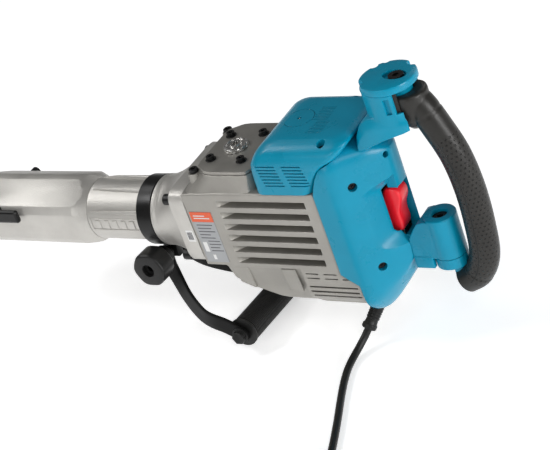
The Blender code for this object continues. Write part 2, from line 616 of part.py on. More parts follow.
trigger_axis = joint_empty("trigger_axis", (332, 0, 12))
trigger = plate("trigger", [(331, -16), (338, -18), (345, -14), (347, -6), (346, 4), (348, 14),
                            (353, 24), (354, 33), (350, 40), (342, 42), (333, 40), (329, 20),
                            (329, 0)], "y", -11, 11, RED, trigger_axis)
round_edges(trigger, 2.5)
switch_body = box("switch_body", (296, -14, -22), (322, 14, 44), BLACK)

# --- Mounts of the bow handle, on one vertical axis ---

upper = rod("upper_mount", DRUM_R, (DRUM_X, 0, UPPER_DRUM[0]), (DRUM_X, 0, 172), TEAL, sides=32)
arm = loft("upper_arm", [[(x, y, z) for y, z in ((-w, low), (w, low), (w, high), (-w, high))]
                         for x, w, low, high in ((336.5, 33, 100, 124), (343, 33, 97, 138),
                                                 (353, 32, 103, 150), (372, 30, 112, 160),
                                                 (394, 26, 118, 160))])
join(upper, arm)
cut(upper, rear_envelope, rod("upper_cavity", 28.0, (DRUM_X + 2, 0, 141), (DRUM_X + 2, 0, 190), sides=32),
    plate("upper_window", [(BOW_AXIS_X + 5, -21), (BOW_AXIS_X + 50, -28), (BOW_AXIS_X + 50, 28),
                           (BOW_AXIS_X + 5, 21)], "z", 90, 190),
    rod("upper_bolt_hole", 6.0 + GAP, (BOW_AXIS_X, 0, 80), (BOW_AXIS_X, 0, 200), sides=24))
lid = rod("upper_mount_lid", DRUM_R, (DRUM_X, 0, 172 + GAP), (DRUM_X, 0, UPPER_DRUM[1]), TEAL,
          sides=32)
round_edges(lid, 1.5, 1)
cut(lid, rod("lid_bolt_seat", 9.0, (BOW_AXIS_X, 0, 176), (BOW_AXIS_X, 0, 190), sides=24),
    rod("lid_bolt_hole", 6.0 + GAP, (BOW_AXIS_X, 0, 160), (BOW_AXIS_X, 0, 190), sides=24))
bushing = rod("upper_bushing", 28.0 - 2 * GAP, (DRUM_X + 2, 0, 141.5), (DRUM_X + 2, 0, 171.5), RUBBER,
              sides=32)
cut(bushing, rod("bushing_bore", KNUCKLE_R + 2 * GAP, (BOW_AXIS_X, 0, 130), (BOW_AXIS_X, 0, 190), sides=24),
    plate("bushing_window", [(BOW_AXIS_X - 2, -20), (BOW_AXIS_X + 50, -34), (BOW_AXIS_X + 50, 34),
                             (BOW_AXIS_X - 2, 20)], "z", 130, 190))
lower = rod("lower_mount", LOWER_R, (BOW_AXIS_X, 0, LOWER_DRUM[0]), (BOW_AXIS_X, 0, LOWER_DRUM[1]),
            TEAL, sides=32)
join(lower, box("lower_arm", (342, -LOWER_R + 1, LOWER_DRUM[0] + 1), (BOW_AXIS_X, LOWER_R - 1, -22)),
     box("lower_arm_web", (360, -LOWER_R + 2, -24), (BOW_AXIS_X, LOWER_R - 2, LOWER_DRUM[1] - 3)),
     box("lower_plate", (351, -LOWER_R + 0.5, -61), (374, LOWER_R - 0.5, -45)))
cut(lower, rear_envelope, rod("lower_knuckle_room", LOWER_R + 0.6, (BOW_AXIS_X, 0, -80),
                              (BOW_AXIS_X, 0, LOWER_DRUM[0] - 0.01), sides=28))
cut(lower, rod("lower_bolt_hole", 6.0 + GAP, (BOW_AXIS_X, 0, -62), (BOW_AXIS_X, 0, 20), sides=24),
    rod("lower_bolt_seat", 9.0, (BOW_AXIS_X, 0, -6), (BOW_AXIS_X, 0, 20), sides=24))

bow_axis = joint_empty("bow_axis", (BOW_AXIS_X, 0, 54))
bow_path = smooth_path([(x, 0, z) for x, z in BOW_PATH], 26)
NECK_END = (BOW_AXIS_X + 30, 0, 139)
upper_knuckle = rod("bow_upper_knuckle", KNUCKLE_R, (BOW_AXIS_X, 0, 143), (BOW_AXIS_X, 0, 170), TEAL,
                    bow_axis, sides=24)
join(upper_knuckle, rod("bow_neck", BOW_CORE_R, (BOW_AXIS_X, 0, 155), NECK_END, hang=bow_axis))
cut(upper_knuckle, rod("bow_bolt_hole", 6.0 + GAP, (BOW_AXIS_X, 0, 100), (BOW_AXIS_X, 0, 200),
                       hang=bow_axis, sides=24))
lower_knuckle = rod("bow_lower_knuckle", LOWER_R, (BOW_AXIS_X, 0, -62),
                    (BOW_AXIS_X, 0, LOWER_DRUM[0] - GAP), TEAL, bow_axis, sides=28)
join(lower_knuckle, rod("bow_foot", BOW_CORE_R, (BOW_FOOT_X, 0, -87), (BOW_FOOT_X, 0, -57),
                        hang=bow_axis))
cut(lower_knuckle, rod("bow_bolt_hole_lower", 6.0 + GAP, (BOW_AXIS_X, 0, -59), (BOW_AXIS_X, 0, 0),
                       hang=bow_axis, sides=24))
grip = tube("bow_grip", bow_path[2:], BOW_R, RUBBER, bow_axis, 4)
join(grip, rod("grip_foot", 14.6, (BOW_FOOT_X, 0, -88.1), (BOW_FOOT_X, 0, -62.7), hang=bow_axis,
               sides=24))
cut(grip, rod("grip_foot_bore", BOW_CORE_R + 2 * GAP, (BOW_FOOT_X, 0, -87.6), (BOW_FOOT_X, 0, -45),
              hang=bow_axis),
    rod("grip_neck_bore", BOW_CORE_R + 2 * GAP, (BOW_AXIS_X - 5, 0, 157.66), (NECK_END[0] + 1, 0, 138.5),
        hang=bow_axis),
    rod("grip_mount_room", LOWER_R + 0.8, (BOW_AXIS_X, 0, -62.35), (BOW_AXIS_X, 0, 10), hang=bow_axis,
        sides=28),
    rod("grip_knuckle_room", KNUCKLE_R + 1.5, (BOW_AXIS_X, 0, 130), (BOW_AXIS_X, 0, 180),
        hang=bow_axis, sides=24))
for name, low, seat, head in (("upper", 136, 176.0, 8.5), ("lower", -58, -6.0, 8.5)):
    bolt = rod(f"{name}_pivot_bolt", 6.0, (BOW_AXIS_X, 0, low), (BOW_AXIS_X, 0, seat + 2),
               BLACK_STEEL, sides=24)
    join(bolt, rod(f"{name}_pivot_head", head, (BOW_AXIS_X, 0, seat + GAP),
                   (BOW_AXIS_X, 0, seat + 5), sides=24))
    cut(bolt, plate(f"{name}_pivot_hex", hexagon(7, (BOW_AXIS_X, 0)), "z", seat + 2.5, seat + 12))

# --- Side handle: clamp band, bolt, knob, stirrup straps and grip ---

clamp_axis = joint_empty("side_clamp_axis", ((BAND[0] + BAND[1]) / 2, 0, 0), (-SIDE_TURN, 0, 0))
CX, CZ = CLAMP_AT
GX, GZ = GRIP_AT
band = ring("clamp_band", 43.8, BARREL_R + GAP, ((BAND[0] + BAND[1]) / 2, 0, 0), (1, 0, 0),
            BAND[1] - BAND[0], BLACK_STEEL, clamp_axis, sides=32)
join(band, box("clamp_ear_left", (BAND[0], -12, -62), (BAND[1], -1.5, -40), hang=clamp_axis),
     box("clamp_ear_right", (BAND[0], 1.5, -62), (BAND[1], 12, -40), hang=clamp_axis))
cut(band, rod("clamp_bolt_hole", 5.0 + GAP, (CX, -40, CZ), (CX, 40, CZ), hang=clamp_axis, sides=24),
    box("clamp_split", (BAND[0] - 5, -1.5, -70), (BAND[1] + 5, 1.5, -30), hang=clamp_axis))
bolt = rod("clamp_bolt", 5.0, (CX, -30, CZ), (CX, 28, CZ), BLACK_STEEL, clamp_axis, sides=24)
join(bolt, plate("clamp_bolt_head", hexagon(15, (CX, CZ)), "y", 27.5, 34, hang=clamp_axis))

tilt_axis = joint_empty("side_tilt_axis", (CX, 0, CZ), parent=clamp_axis)
STRAP_ROUTE = [(CX, CZ), (CX + 2, CZ - 23), (CX + 20, CZ - 46), (CX + 51, CZ - 65),
               (GX - 24, GZ + 12), (GX, GZ)]


def strap(name, side):
    """A flat steel strap, curved in side view and flaring outwards towards the grip."""
    path = smooth_path([(x, 0, z) for x, z in STRAP_ROUTE], 14)
    rings = []
    for i, p in enumerate(path):
        ahead = path[min(i + 1, len(path) - 1)] - path[max(i - 1, 0)]
        across = Vector((-ahead.z, 0, ahead.x)).normalized() * STRAP_W / 2
        t = i / (len(path) - 1)
        flare = STRAP_TOP_Y + (STRAP_END_Y - STRAP_TOP_Y) * (0.5 - 0.5 * math.cos(math.pi * min(
            1.0, max(0.0, (t - 0.16) / 0.62))))
        near, far = side * (flare - STRAP_T / 2), side * (flare + STRAP_T / 2)
        upper, lower = p + across, p - across
        rings.append([(upper.x, near, upper.z), (lower.x, near, lower.z),
                      (lower.x, far, lower.z), (upper.x, far, upper.z)])
    body = loft(name, rings, BLACK_STEEL, tilt_axis)
    for end, (x, z), y in (("top", (CX, CZ), STRAP_TOP_Y), ("end", (GX, GZ), STRAP_END_Y)):
        low, high = sorted((side * (y - STRAP_T / 2), side * (y + STRAP_T / 2)))
        join(body, rod(f"{name}_{end}_eye", STRAP_W / 2, (x, low, z), (x, high, z),
                       hang=tilt_axis))
        cut(body, rod(f"{name}_{end}_hole", 5.0 + GAP, (x, low - 20, z), (x, high + 20, z),
                      hang=tilt_axis, sides=24))
    return body


strap("side_strap_left", -1)
strap("side_strap_right", 1)
side_grip = turned("side_grip", [(r, -y) for r, y in (
    (GRIP_R + 1.5, -GRIP_HALF), (GRIP_R + 1.5, -GRIP_HALF + 4), (GRIP_R, -GRIP_HALF + 8),
    (GRIP_R, GRIP_HALF - 8), (GRIP_R + 1.5, GRIP_HALF - 4), (GRIP_R + 1.5, GRIP_HALF),
    (5.0 + GAP, GRIP_HALF), (5.0 + GAP, -GRIP_HALF))], (GX, 0, GZ), (0, -1, 0), RUBBER, tilt_axis)
tie_rod = rod("side_grip_rod", 5.0, (GX, -68, GZ), (GX, 68, GZ), BLACK_STEEL, tilt_axis, sides=24)
join(tie_rod, plate("side_rod_head_left", hexagon(15, (GX, GZ)), "y", -71, -63.6, hang=tilt_axis),
     plate("side_rod_head_right", hexagon(15, (GX, GZ)), "y", 63.6, 71, hang=tilt_axis))

knob_axis = joint_empty("clamp_knob_axis", (CX, -50, CZ), parent=clamp_axis)
lobes = [(CX + (21.5 + 1.2 * math.cos(6 * a)) * math.cos(a), CZ + (21.5 + 1.2 * math.cos(6 * a))
          * math.sin(a)) for a in (2 * math.pi * i / 36 for i in range(36))]
knob = plate("clamp_knob", lobes, "y", -64, -37.5, BLACK, knob_axis)
round_edges(knob, 3.0, 1)
join(knob, rod("knob_neck", 13.0, (CX, -40, CZ), (CX, -STRAP_TOP_Y - STRAP_T / 2 - GAP, CZ),
               hang=knob_axis))
cut(knob, rod("knob_recess", 9.0, (CX, -70, CZ), (CX, -57, CZ), hang=knob_axis, sides=24),
    rod("knob_bore", 5.0 + GAP, (CX, -45, CZ), (CX, -10, CZ), hang=knob_axis, sides=24))

# --- Cord: guard, visible run, coil and plug ---

guard = rod("cord_guard", 9.0, GUARD[0], GUARD[1], BLACK, tip_radius=7.6, sides=24)
g0, g1 = Vector(GUARD[0]), Vector(GUARD[1])
g_dir = (g1 - g0).normalized()
join(guard, rod("guard_lip", 9.0, g1 - 5 * g_dir, g1, sides=24))
cx, cy = COIL_AT


def bezier(start, out, into, end, count):
    """Points along one cubic Bezier curve."""
    a, b, c, d = (Vector(p) for p in (start, out, into, end))
    steps = [i / (count - 1) for i in range(count)]
    return [(1 - t) ** 3 * a + 3 * t * (1 - t) ** 2 * b + 3 * t * t * (1 - t) * c + t ** 3 * d
            for t in steps]


# Each knot of the cord's route: where it passes, which way it runs, its handles before and after.
cord_knots = [(g1 + 1.3 * g_dir, g_dir, 0, 22), ((267, -94, CORD_Z), (0.22, -0.97, 0), 22, 30),
              ((300, -190, CORD_Z), (0.33, -0.94, 0), 35, 30),
              ((cx + COIL_R, cy + 45.5, CORD_Z), (0, -1, 0), 30, 0)]
cord_path = []
for (here, way, _, out), (there, onward, into, _) in zip(cord_knots, cord_knots[1:]):
    here, way, there, onward = (Vector(v) for v in (here, way, there, onward))
    cord_path += bezier(here, here + way.normalized() * out, there - onward.normalized() * into,
                        there, 11)[bool(cord_path):]
tube("cord", cord_path, CORD_D / 2, BLACK, None, 2)
coil = turned("cord_coil", [(COIL_R + COIL_SECTION / 2, COIL_SECTION), (COIL_R + COIL_SECTION / 2, 0),
                            (COIL_R - COIL_SECTION / 2, 0), (COIL_R - COIL_SECTION / 2, COIL_SECTION)],
              (cx, cy, -AXIS_Z + 0.2), (0, 0, 1), BLACK)
round_edges(coil, 5.0, 1)
px, py, pz = cx + COIL_R + CORD_D, cy - 88, -AXIS_Z + 18.8
plug = turned("plug", [(0, 42), (7, 42), (8, 32), (17, 14), (18.5, 0), (18.5, -3), (0, -3)],
              (px, py, pz), (0, 1, 0), BLACK, sides=28)
for i, dx in enumerate((-9.5, 9.5)):
    join(plug, rod(f"plug_pin_{i}", 2.4, (px + dx, py - 2, pz), (px + dx, py - 21, pz), sides=16))
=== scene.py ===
"""Electric jackhammer: its look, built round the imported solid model.

Lengths are in millimetres in the tool frame: x runs back along the barrel from the front of the clamp
ring, y is 0 on the middle plane and negative on the rating plate's side, z is 0 on the barrel axis and
positive towards the oil cap. at() turns such a point into metres in the scene.
"""
import json
import math

import bmesh
import bpy
from mathutils import Matrix, Vector


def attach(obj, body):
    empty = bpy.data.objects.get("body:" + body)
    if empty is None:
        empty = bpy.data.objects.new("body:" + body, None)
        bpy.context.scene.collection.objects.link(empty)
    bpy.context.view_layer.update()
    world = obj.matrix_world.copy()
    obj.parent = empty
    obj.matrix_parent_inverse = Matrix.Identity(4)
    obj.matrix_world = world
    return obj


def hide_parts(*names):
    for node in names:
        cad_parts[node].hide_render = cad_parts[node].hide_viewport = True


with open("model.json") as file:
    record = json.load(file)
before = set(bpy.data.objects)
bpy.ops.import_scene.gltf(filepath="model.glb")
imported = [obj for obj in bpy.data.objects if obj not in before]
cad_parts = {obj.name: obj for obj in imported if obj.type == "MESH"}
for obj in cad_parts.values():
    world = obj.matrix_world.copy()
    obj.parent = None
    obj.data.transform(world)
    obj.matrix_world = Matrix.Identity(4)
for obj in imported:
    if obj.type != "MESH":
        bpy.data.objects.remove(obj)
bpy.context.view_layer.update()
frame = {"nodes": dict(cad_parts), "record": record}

MM = 0.001
MID_X, MID_Y, AXIS_Z = 78.4, -10.4, 160.0   # from the tool frame to the part's origin on the floor
SIDE_TURN = math.radians(5.0)       # the side handle hangs this far towards the plate's side
BARREL_R, COLLAR_R = 38.7, 44.0
CASE, BOTTOM = 61.5, -103.0         # half the width of the crankcase, and the underside of its foot
COVER_HALF, COVER_BACK = 62.3, 332.0
PIVOT_X = 388.5                     # the upright axis that the bow handle swings on
DRUM_X, DRUM_R = 378.5, 32.2
CLAMP_X, CLAMP_Z = 10.0, -51.0      # the side handle's clamp bolt
GRIP_X, GRIP_Z = 118.0, -137.0      # the side handle's grip
GRIP_AROUND = 106.0                 # the distance round the bow grip, which its UVs are measured in
GUARD_FROM, GUARD_TO = (296.5, -5, -95), (275, -40, -136)
CORD_D = 9.0
UP, ALONG, ACROSS = (0, 0, 1), (1, 0, 0), (0, 1, 0)


def at(x, y, z):
    return Vector((x - MID_X, y - MID_Y, z + AXIS_Z)) * MM


def hung(x, y, z):
    """A point of the side handle's own frame, which is turned about the barrel."""
    c, s = math.cos(-SIDE_TURN), math.sin(-SIDE_TURN)
    return (x, y * c - z * s, y * s + z * c)


# --- Shapes ---

def raw(name, points, faces, turn=None):
    """A mesh object from points in millimetres, with its faces turned outwards."""
    mesh = bpy.data.meshes.new(name)
    mesh.from_pydata([at(*(turn(*p) if turn else p)) for p in points], [], faces)
    shape = bmesh.new()
    shape.from_mesh(mesh)
    bmesh.ops.recalc_face_normals(shape, faces=shape.faces)
    shape.to_mesh(mesh)
    shape.free()
    obj = bpy.data.objects.new(name, mesh)
    bpy.context.scene.collection.objects.link(obj)
    return obj


def loft(name, rings, turn=None, hollow=False):
    """A solid through rings of equal length; a hollow one closes on its first ring instead of caps."""
    n = len(rings[0])
    points = [p for ring in rings for p in ring]
    faces = []
    pairs = list(zip(range(len(rings) - 1), range(1, len(rings))))
    if hollow:
        pairs.append((len(rings) - 1, 0))
    for a, b in pairs:
        for i in range(n):
            j = (i + 1) % n
            faces.append((a * n + i, a * n + j, b * n + j, b * n + i))
    if not hollow:
        faces += [tuple(range(n)), tuple((len(rings) - 1) * n + i for i in range(n))]
    return raw(name, points, faces, turn)


def frame_of(axis):
    """The unit vector along an axis, and two square to it and to each other."""
    axis = Vector(axis).normalized()
    side = axis.cross(Vector((0, 0, 1)) if abs(axis.z) < 0.9 else Vector((1, 0, 0))).normalized()
    return axis, side, axis.cross(side)


def turned(name, profile, centre, axis, sides=96, turn=None):
    """A lathe shape: (radius, height) pairs along the axis. It is a tube if it never meets the axis."""
    axis, u, v = frame_of(axis)
    hollow = profile[0][0] > 0 and profile[-1][0] > 0
    rings = []
    for r, h in profile:
        if r == 0:
            continue
        rings.append([tuple(Vector(centre) + axis * h + (u * math.cos(a) + v * math.sin(a)) * r)
                      for a in (2 * math.pi * i / sides for i in range(sides))])
    return loft(name, rings, turn, hollow)


def rod(name, radius, start, end, sides=48, turn=None):
    way = Vector(end) - Vector(start)
    profile = [(0, 0), (radius, 0), (radius, way.length), (0, way.length)]
    return turned(name, profile, start, way, sides, turn)


def post(name, radius, x, low, high, sides=48):
    """An upright rod on the middle plane."""
    return rod(name, radius, (x, 0, low), (x, 0, high), sides)


def box(name, low, high, turn=None):
    (a, b, c), (d, e, f) = low, high
    return loft(name, [[(x, b, c), (x, e, c), (x, e, f), (x, b, f)] for x in (a, d)], turn)


def prism(name, outline, facing, low, high, turn=None):
    """An outline pushed from low to high along the axis that it faces."""
    place = {"x": lambda u, v, w: (w, u, v), "y": lambda u, v, w: (u, w, v),
             "z": lambda u, v, w: (u, v, w)}[facing]
    return loft(name, [[place(u, v, w) for u, v in outline] for w in (low, high)], turn)


def circle(radius, count, centre=(0, 0), first=0.0):
    return [(centre[0] + radius * math.cos(first + 2 * math.pi * i / count),
             centre[1] + radius * math.sin(first + 2 * math.pi * i / count)) for i in range(count)]


def rounded(outline, rounds=2, keep=0.25):
    """Cuts a closed outline's corners again and again, which rounds them."""
    for _ in range(rounds):
        out = []
        for a, b in zip(outline, outline[1:] + outline[:1]):
            a, b = Vector(a), Vector(b)
            out += [tuple(a.lerp(b, keep)), tuple(a.lerp(b, 1 - keep))]
        outline = out
    return outline


def smooth_path(route, count):
    """Evenly numbered points on a Catmull-Rom curve through the route."""
    points = [Vector(p) for p in route]
    points = [2 * points[0] - points[1], *points, 2 * points[-1] - points[-2]]
    spans, path = len(points) - 3, []
    for i in range(count):
        t = i / (count - 1) * spans
        k = min(int(t), spans - 1)
        t -= k
        a, b, c, d = points[k:k + 4]
        path.append(0.5 * (2 * b + (c - a) * t + (2 * a - 5 * b + 4 * c - d) * t ** 2
                           + (3 * b - a - 3 * c + d) * t ** 3))
    return path


def tube(name, path, radius, sides=24, uv=False):
    """A tube whose radius may change along the path; its UVs are millimetres along and round it."""
    path = [Vector(p) for p in path]
    rings, side, along, run = [], None, [], 0.0
    for i, p in enumerate(path):
        way = (path[min(i + 1, len(path) - 1)] - path[max(i - 1, 0)]).normalized()
        if side is None:
            side = way.cross(Vector((0, 1, 0.01))).normalized()
        side = (side - way * side.dot(way)).normalized()
        other = way.cross(side)
        r = radius(i / (len(path) - 1)) if callable(radius) else radius
        rings.append([tuple(p + (side * math.cos(a) + other * math.sin(a)) * r)
                      for a in (2 * math.pi * k / sides for k in range(sides))])
        run += (p - path[i - 1]).length if i else 0.0
        along.append(run)
    obj = loft(name, rings)
    if uv:
        layer = obj.data.uv_layers.new(name="UVMap")
        for face in obj.data.polygons:
            ks = [obj.data.loops[i].vertex_index % sides for i in face.loop_indices]
            wrap = max(ks) - min(ks) > sides / 2
            for i, k in zip(face.loop_indices, ks):
                step = obj.data.loops[i].vertex_index // sides
                layer.data[i].uv = (along[min(step, len(along) - 1)],
                                    (k + (sides if wrap and k == 0 else 0)) / sides * GRIP_AROUND)
    return obj


def applied(obj):
    """The object with its modifiers made part of its mesh."""
    bpy.context.view_layer.update()
    graph = bpy.context.evaluated_depsgraph_get()
    mesh = bpy.data.meshes.new_from_object(obj.evaluated_get(graph))
    obj.modifiers.clear()
    obj.data = mesh
    return obj


def bevel(obj, width, segments=3, angle=32):
    step = obj.modifiers.new("bevel", "BEVEL")
    step.width, step.segments = width * MM, segments
    step.limit_method, step.angle_limit = "ANGLE", math.radians(angle)
    step.use_clamp_overlap = True
    return applied(obj)


def combine(obj, operation, others):
    for other in others:
        step = obj.modifiers.new("boolean", "BOOLEAN")
        step.operation, step.object, step.solver = operation, other, "EXACT"
    applied(obj)
    for other in others:
        bpy.data.objects.remove(other)
    return obj


def cut(obj, *others):
    return combine(obj, "DIFFERENCE", others)


def join(obj, *others):
    return combine(obj, "UNION", others)


def piece(obj, look, body="tool", replaces=(), angle=32):
    """Gives a shape its material, shading and body, and hides the CAD nodes it stands for."""
    obj.data.materials.clear()
    obj.data.materials.append(LOOKS[look])
    obj.data.shade_smooth()
    obj.data.set_sharp_from_angle(angle=math.radians(angle))
    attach(obj, body)
    if replaces:
        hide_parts(*replaces)
    return obj


# --- Materials ---

class Nodes:
    """Short names for building a node tree."""

    def __init__(self, material):
        self.tree = material.node_tree
        self.shader = self.tree.nodes["Principled BSDF"]

    def new(self, kind, **settings):
        node = self.tree.nodes.new("ShaderNode" + kind)
        for key, value in settings.items():
            setattr(node, key, value)
        return node

    def link(self, source, target):
        self.tree.links.new(source, target)

    def value(self, operation, a, b=None, clamp=False):
        node = self.new("Math", operation=operation)
        node.use_clamp = clamp
        for socket, given in zip(node.inputs, (a, b)):
            if given is None:
                continue
            if isinstance(given, (int, float)):
                socket.default_value = given
            else:
                self.link(given, socket)
        return node.outputs[0]

    def noise(self, scale, detail=3.0, rough=0.5, stretch=None):
        where = self.new("TexCoord").outputs["Object"]
        if stretch:
            move = self.new("Mapping")
            move.inputs["Scale"].default_value = stretch
            self.link(where, move.inputs["Vector"])
            where = move.outputs[0]
        node = self.new("TexNoise")
        node.inputs["Scale"].default_value = scale
        node.inputs["Detail"].default_value = detail
        node.inputs["Roughness"].default_value = rough
        self.link(where, node.inputs["Vector"])
        return node.outputs["Fac"]

    def ramp(self, source, low, high, to_low=0.0, to_high=1.0):
        node = self.new("MapRange")
        for key, given in (("From Min", low), ("From Max", high), ("To Min", to_low), ("To Max", to_high)):
            node.inputs[key].default_value = given
        self.link(source, node.inputs["Value"])
        return node.outputs[0]

    def mix(self, factor, a, b):
        node = self.new("Mix", data_type="RGBA")
        for socket, given in ((node.inputs[0], factor), (node.inputs[6], a), (node.inputs[7], b)):
            if isinstance(given, (int, float)):
                socket.default_value = given
            elif isinstance(given, tuple):
                socket.default_value = (*given, 1.0)
            else:
                self.link(given, socket)
        return node.outputs[2]


def shade(colour, by):
    return tuple(max(0.0, c * by) for c in colour)


def surface(name, colour, rough, metal=0.0, mottle=0.08, mottle_scale=25.0, grain=0.1, grain_scale=900.0,
            depth=0.0003, edge=None, edge_by=0.5, edge_width=0.7, coat=0.0, stretch=None,
            shine=0.5):
    """A finish with cloudy colour, a fine grain, softened edges and, where asked, rubbed bright edges."""
    rough_by = 0.07
    made = bpy.data.materials.new(name)
    made.use_nodes = True
    n = Nodes(made)
    cloud = n.noise(mottle_scale, 4.0, 0.6, stretch)
    fine = n.noise(grain_scale, 2.0, 0.5, stretch)
    share = n.ramp(cloud, 0.3, 0.7)
    tone = n.mix(share, shade(colour, 1 - mottle), shade(colour, 1 + mottle))
    soft = n.new("Bevel")
    soft.samples = 4
    soft.inputs["Radius"].default_value = edge_width * MM
    if edge:
        plain = n.new("NewGeometry").outputs["Normal"]
        turn = n.new("VectorMath", operation="DOT_PRODUCT")
        n.link(soft.outputs[0], turn.inputs[0])
        n.link(plain, turn.inputs[1])
        bent = n.value("SUBTRACT", 1.0, turn.outputs["Value"])
        worn = n.value("MULTIPLY", n.ramp(bent, 0.02, 0.25), n.ramp(cloud, 0.35, 0.62), True)
        tone = n.mix(n.value("MULTIPLY", worn, edge_by), tone, edge)
    n.link(tone, n.shader.inputs["Base Color"])
    n.link(n.ramp(cloud, 0.25, 0.75, max(0.05, rough - rough_by), rough + rough_by),
           n.shader.inputs["Roughness"])
    for key, given in (("Metallic", metal), ("Specular IOR Level", shine), ("Coat Weight", coat),
                       ("Coat Roughness", 0.2)):
        n.shader.inputs[key].default_value = given
    bump = n.new("Bump")
    bump.inputs["Strength"].default_value = grain
    bump.inputs["Distance"].default_value = depth
    n.link(fine, bump.inputs["Height"])
    n.link(soft.outputs[0], bump.inputs["Normal"])
    n.link(bump.outputs[0], n.shader.inputs["Normal"])
    made["bump"] = bump.name
    return made


LOOKS = {
    "teal": surface("teal_moulded", (0.0003, 0.255, 0.40), 0.30, mottle=0.05, grain=0.16, grain_scale=2600,
                    depth=0.00015, shine=0.27, edge=(0.03, 0.40, 0.56), edge_by=0.45),
    "cast": surface("cast_body", (0.335, 0.322, 0.295), 0.42, 0.62, mottle=0.10, mottle_scale=18, grain=0.5,
                    grain_scale=700, depth=0.0005, edge=(0.72, 0.70, 0.65), edge_by=0.75, edge_width=1.2),
    "barrel": surface("barrel_silver", (0.52, 0.505, 0.475), 0.42, 0.6, mottle=0.09, mottle_scale=20,
                      grain=0.6, grain_scale=620, depth=0.0006, edge=(0.85, 0.84, 0.8), edge_by=0.6,
                      edge_width=1.2),
    "black": surface("black_moulded", (0.012, 0.012, 0.0118), 0.36, mottle=0.25, grain=0.25,
                     grain_scale=2000, depth=0.0002, edge=(0.05, 0.05, 0.05), edge_by=0.4, shine=0.28),
    "black_steel": surface("black_oxide", (0.010, 0.010, 0.010), 0.32, 0.2, mottle=0.3, grain=0.12,
                           grain_scale=1500, edge=(0.12, 0.12, 0.12), edge_by=0.4, shine=0.3),
    "strap": surface("painted_strap", (0.004, 0.004, 0.004), 0.34, mottle=0.25, grain=0.2,
                     grain_scale=1200, edge=(0.03, 0.03, 0.03), edge_by=0.3, shine=0.14),
    "rubber": surface("rubber", (0.012, 0.012, 0.0115), 0.42, mottle=0.2, grain=0.35, grain_scale=1600,
                      edge=(0.05, 0.05, 0.05), edge_by=0.35, shine=0.3),
    "steel": surface("ground_steel", (0.60, 0.59, 0.57), 0.27, 1.0, mottle=0.07, mottle_scale=40,
                     grain=0.12, grain_scale=1400, edge=(0.9, 0.9, 0.88), edge_by=0.7),
    "red": surface("red_moulded", (0.90, 0.012, 0.025), 0.33, mottle=0.06, grain=0.1, grain_scale=2500,
                   depth=0.00012, coat=0.15, edge=(0.95, 0.12, 0.1), edge_by=0.4, edge_width=1.4),
    "copper": surface("enamelled_copper", (0.55, 0.22, 0.08), 0.35, 0.9, mottle=0.15, grain=0.5,
                      grain_scale=300, stretch=(1, 1, 12)),
    "brass": surface("brass_holder", (0.60, 0.43, 0.16), 0.32, 1.0),
    "grip": surface("soft_grip_dots", (0.019, 0.018, 0.016), 0.36, mottle=0.2, grain=0.25, grain_scale=1900,
                    edge=(0.05, 0.05, 0.05), edge_by=0.3, shine=0.32),
    "cord": surface("cord_sheath", (0.010, 0.010, 0.0095), 0.38, mottle=0.15, grain=0.15,
                    grain_scale=1800, shine=0.3),
    "plate_grey": surface("rating_plate", (0.34, 0.35, 0.36), 0.35, mottle=0.04, grain=0.05),
    "plate_orange": surface("plate_band", (0.72, 0.10, 0.028), 0.38, mottle=0.05, grain=0.05),
    "plate_ink": surface("plate_ink", (0.10, 0.10, 0.11), 0.45, mottle=0.1, grain=0.05),
    "plate_white": surface("sticker_white", (0.72, 0.72, 0.71), 0.4, mottle=0.03, grain=0.05),
}


def dotted(material):
    """Rows of small blind holes over part of a grip, from its UVs in millimetres; the holes and seam grooves
    also get painted shade in their colour.
    """
    pitch, radius, start, stop = 5.2, 1.0, 58.0, 250.0
    n = Nodes(material)
    uv = n.new("UVMap").outputs[0]
    split = n.new("SeparateXYZ")
    n.link(uv, split.inputs[0])
    along, across = split.outputs[0], split.outputs[1]
    row = n.value("FLOOR", n.value("DIVIDE", along, pitch))
    shift = n.value("MULTIPLY", n.value("MODULO", row, 2.0), 0.5)
    a = n.value("SUBTRACT", n.value("FRACT", n.value("DIVIDE", along, pitch)), 0.5)
    b = n.value("SUBTRACT", n.value("FRACT", n.value("ADD", n.value("DIVIDE", across, pitch * 1.02),
                                                     shift)), 0.5)
    away = n.value("SQRT", n.value("ADD", n.value("MULTIPLY", a, a), n.value("MULTIPLY", b, b)))
    dot = n.ramp(away, radius / pitch * 0.7, radius / pitch * 1.25, 1.0, 0.0)
    zone = n.value("MULTIPLY", n.value("GREATER_THAN", along, start), n.value("LESS_THAN", along, stop))
    dot = n.value("MULTIPLY", dot, zone)
    for seam in (0.25 * GRIP_AROUND, 0.75 * GRIP_AROUND):
        gap = n.value("ABSOLUTE", n.value("SUBTRACT", across, seam))
        line = n.value("MULTIPLY", n.ramp(gap, 0.25, 0.6, 0.6, 0.0), zone)
        dot = n.value("MAXIMUM", n.value("MULTIPLY", dot, n.ramp(gap, 1.4, 2.2)), line)
    bump = n.tree.nodes[material["bump"]]
    second = n.new("Bump")
    second.invert = True
    second.inputs["Strength"].default_value = 1.0
    second.inputs["Distance"].default_value = 0.0009
    n.link(dot, second.inputs["Height"])
    n.link(bump.outputs[0], second.inputs["Normal"])
    n.link(second.outputs[0], n.shader.inputs["Normal"])
    # Painted shade: the holes and seam grooves are mixed towards near black in the base colour.
    colour = n.shader.inputs["Base Color"].links[0].from_socket
    n.link(n.mix(n.value("MULTIPLY", dot, 0.8), colour, (0.003, 0.003, 0.003)),
           n.shader.inputs["Base Color"])


dotted(LOOKS["grip"])

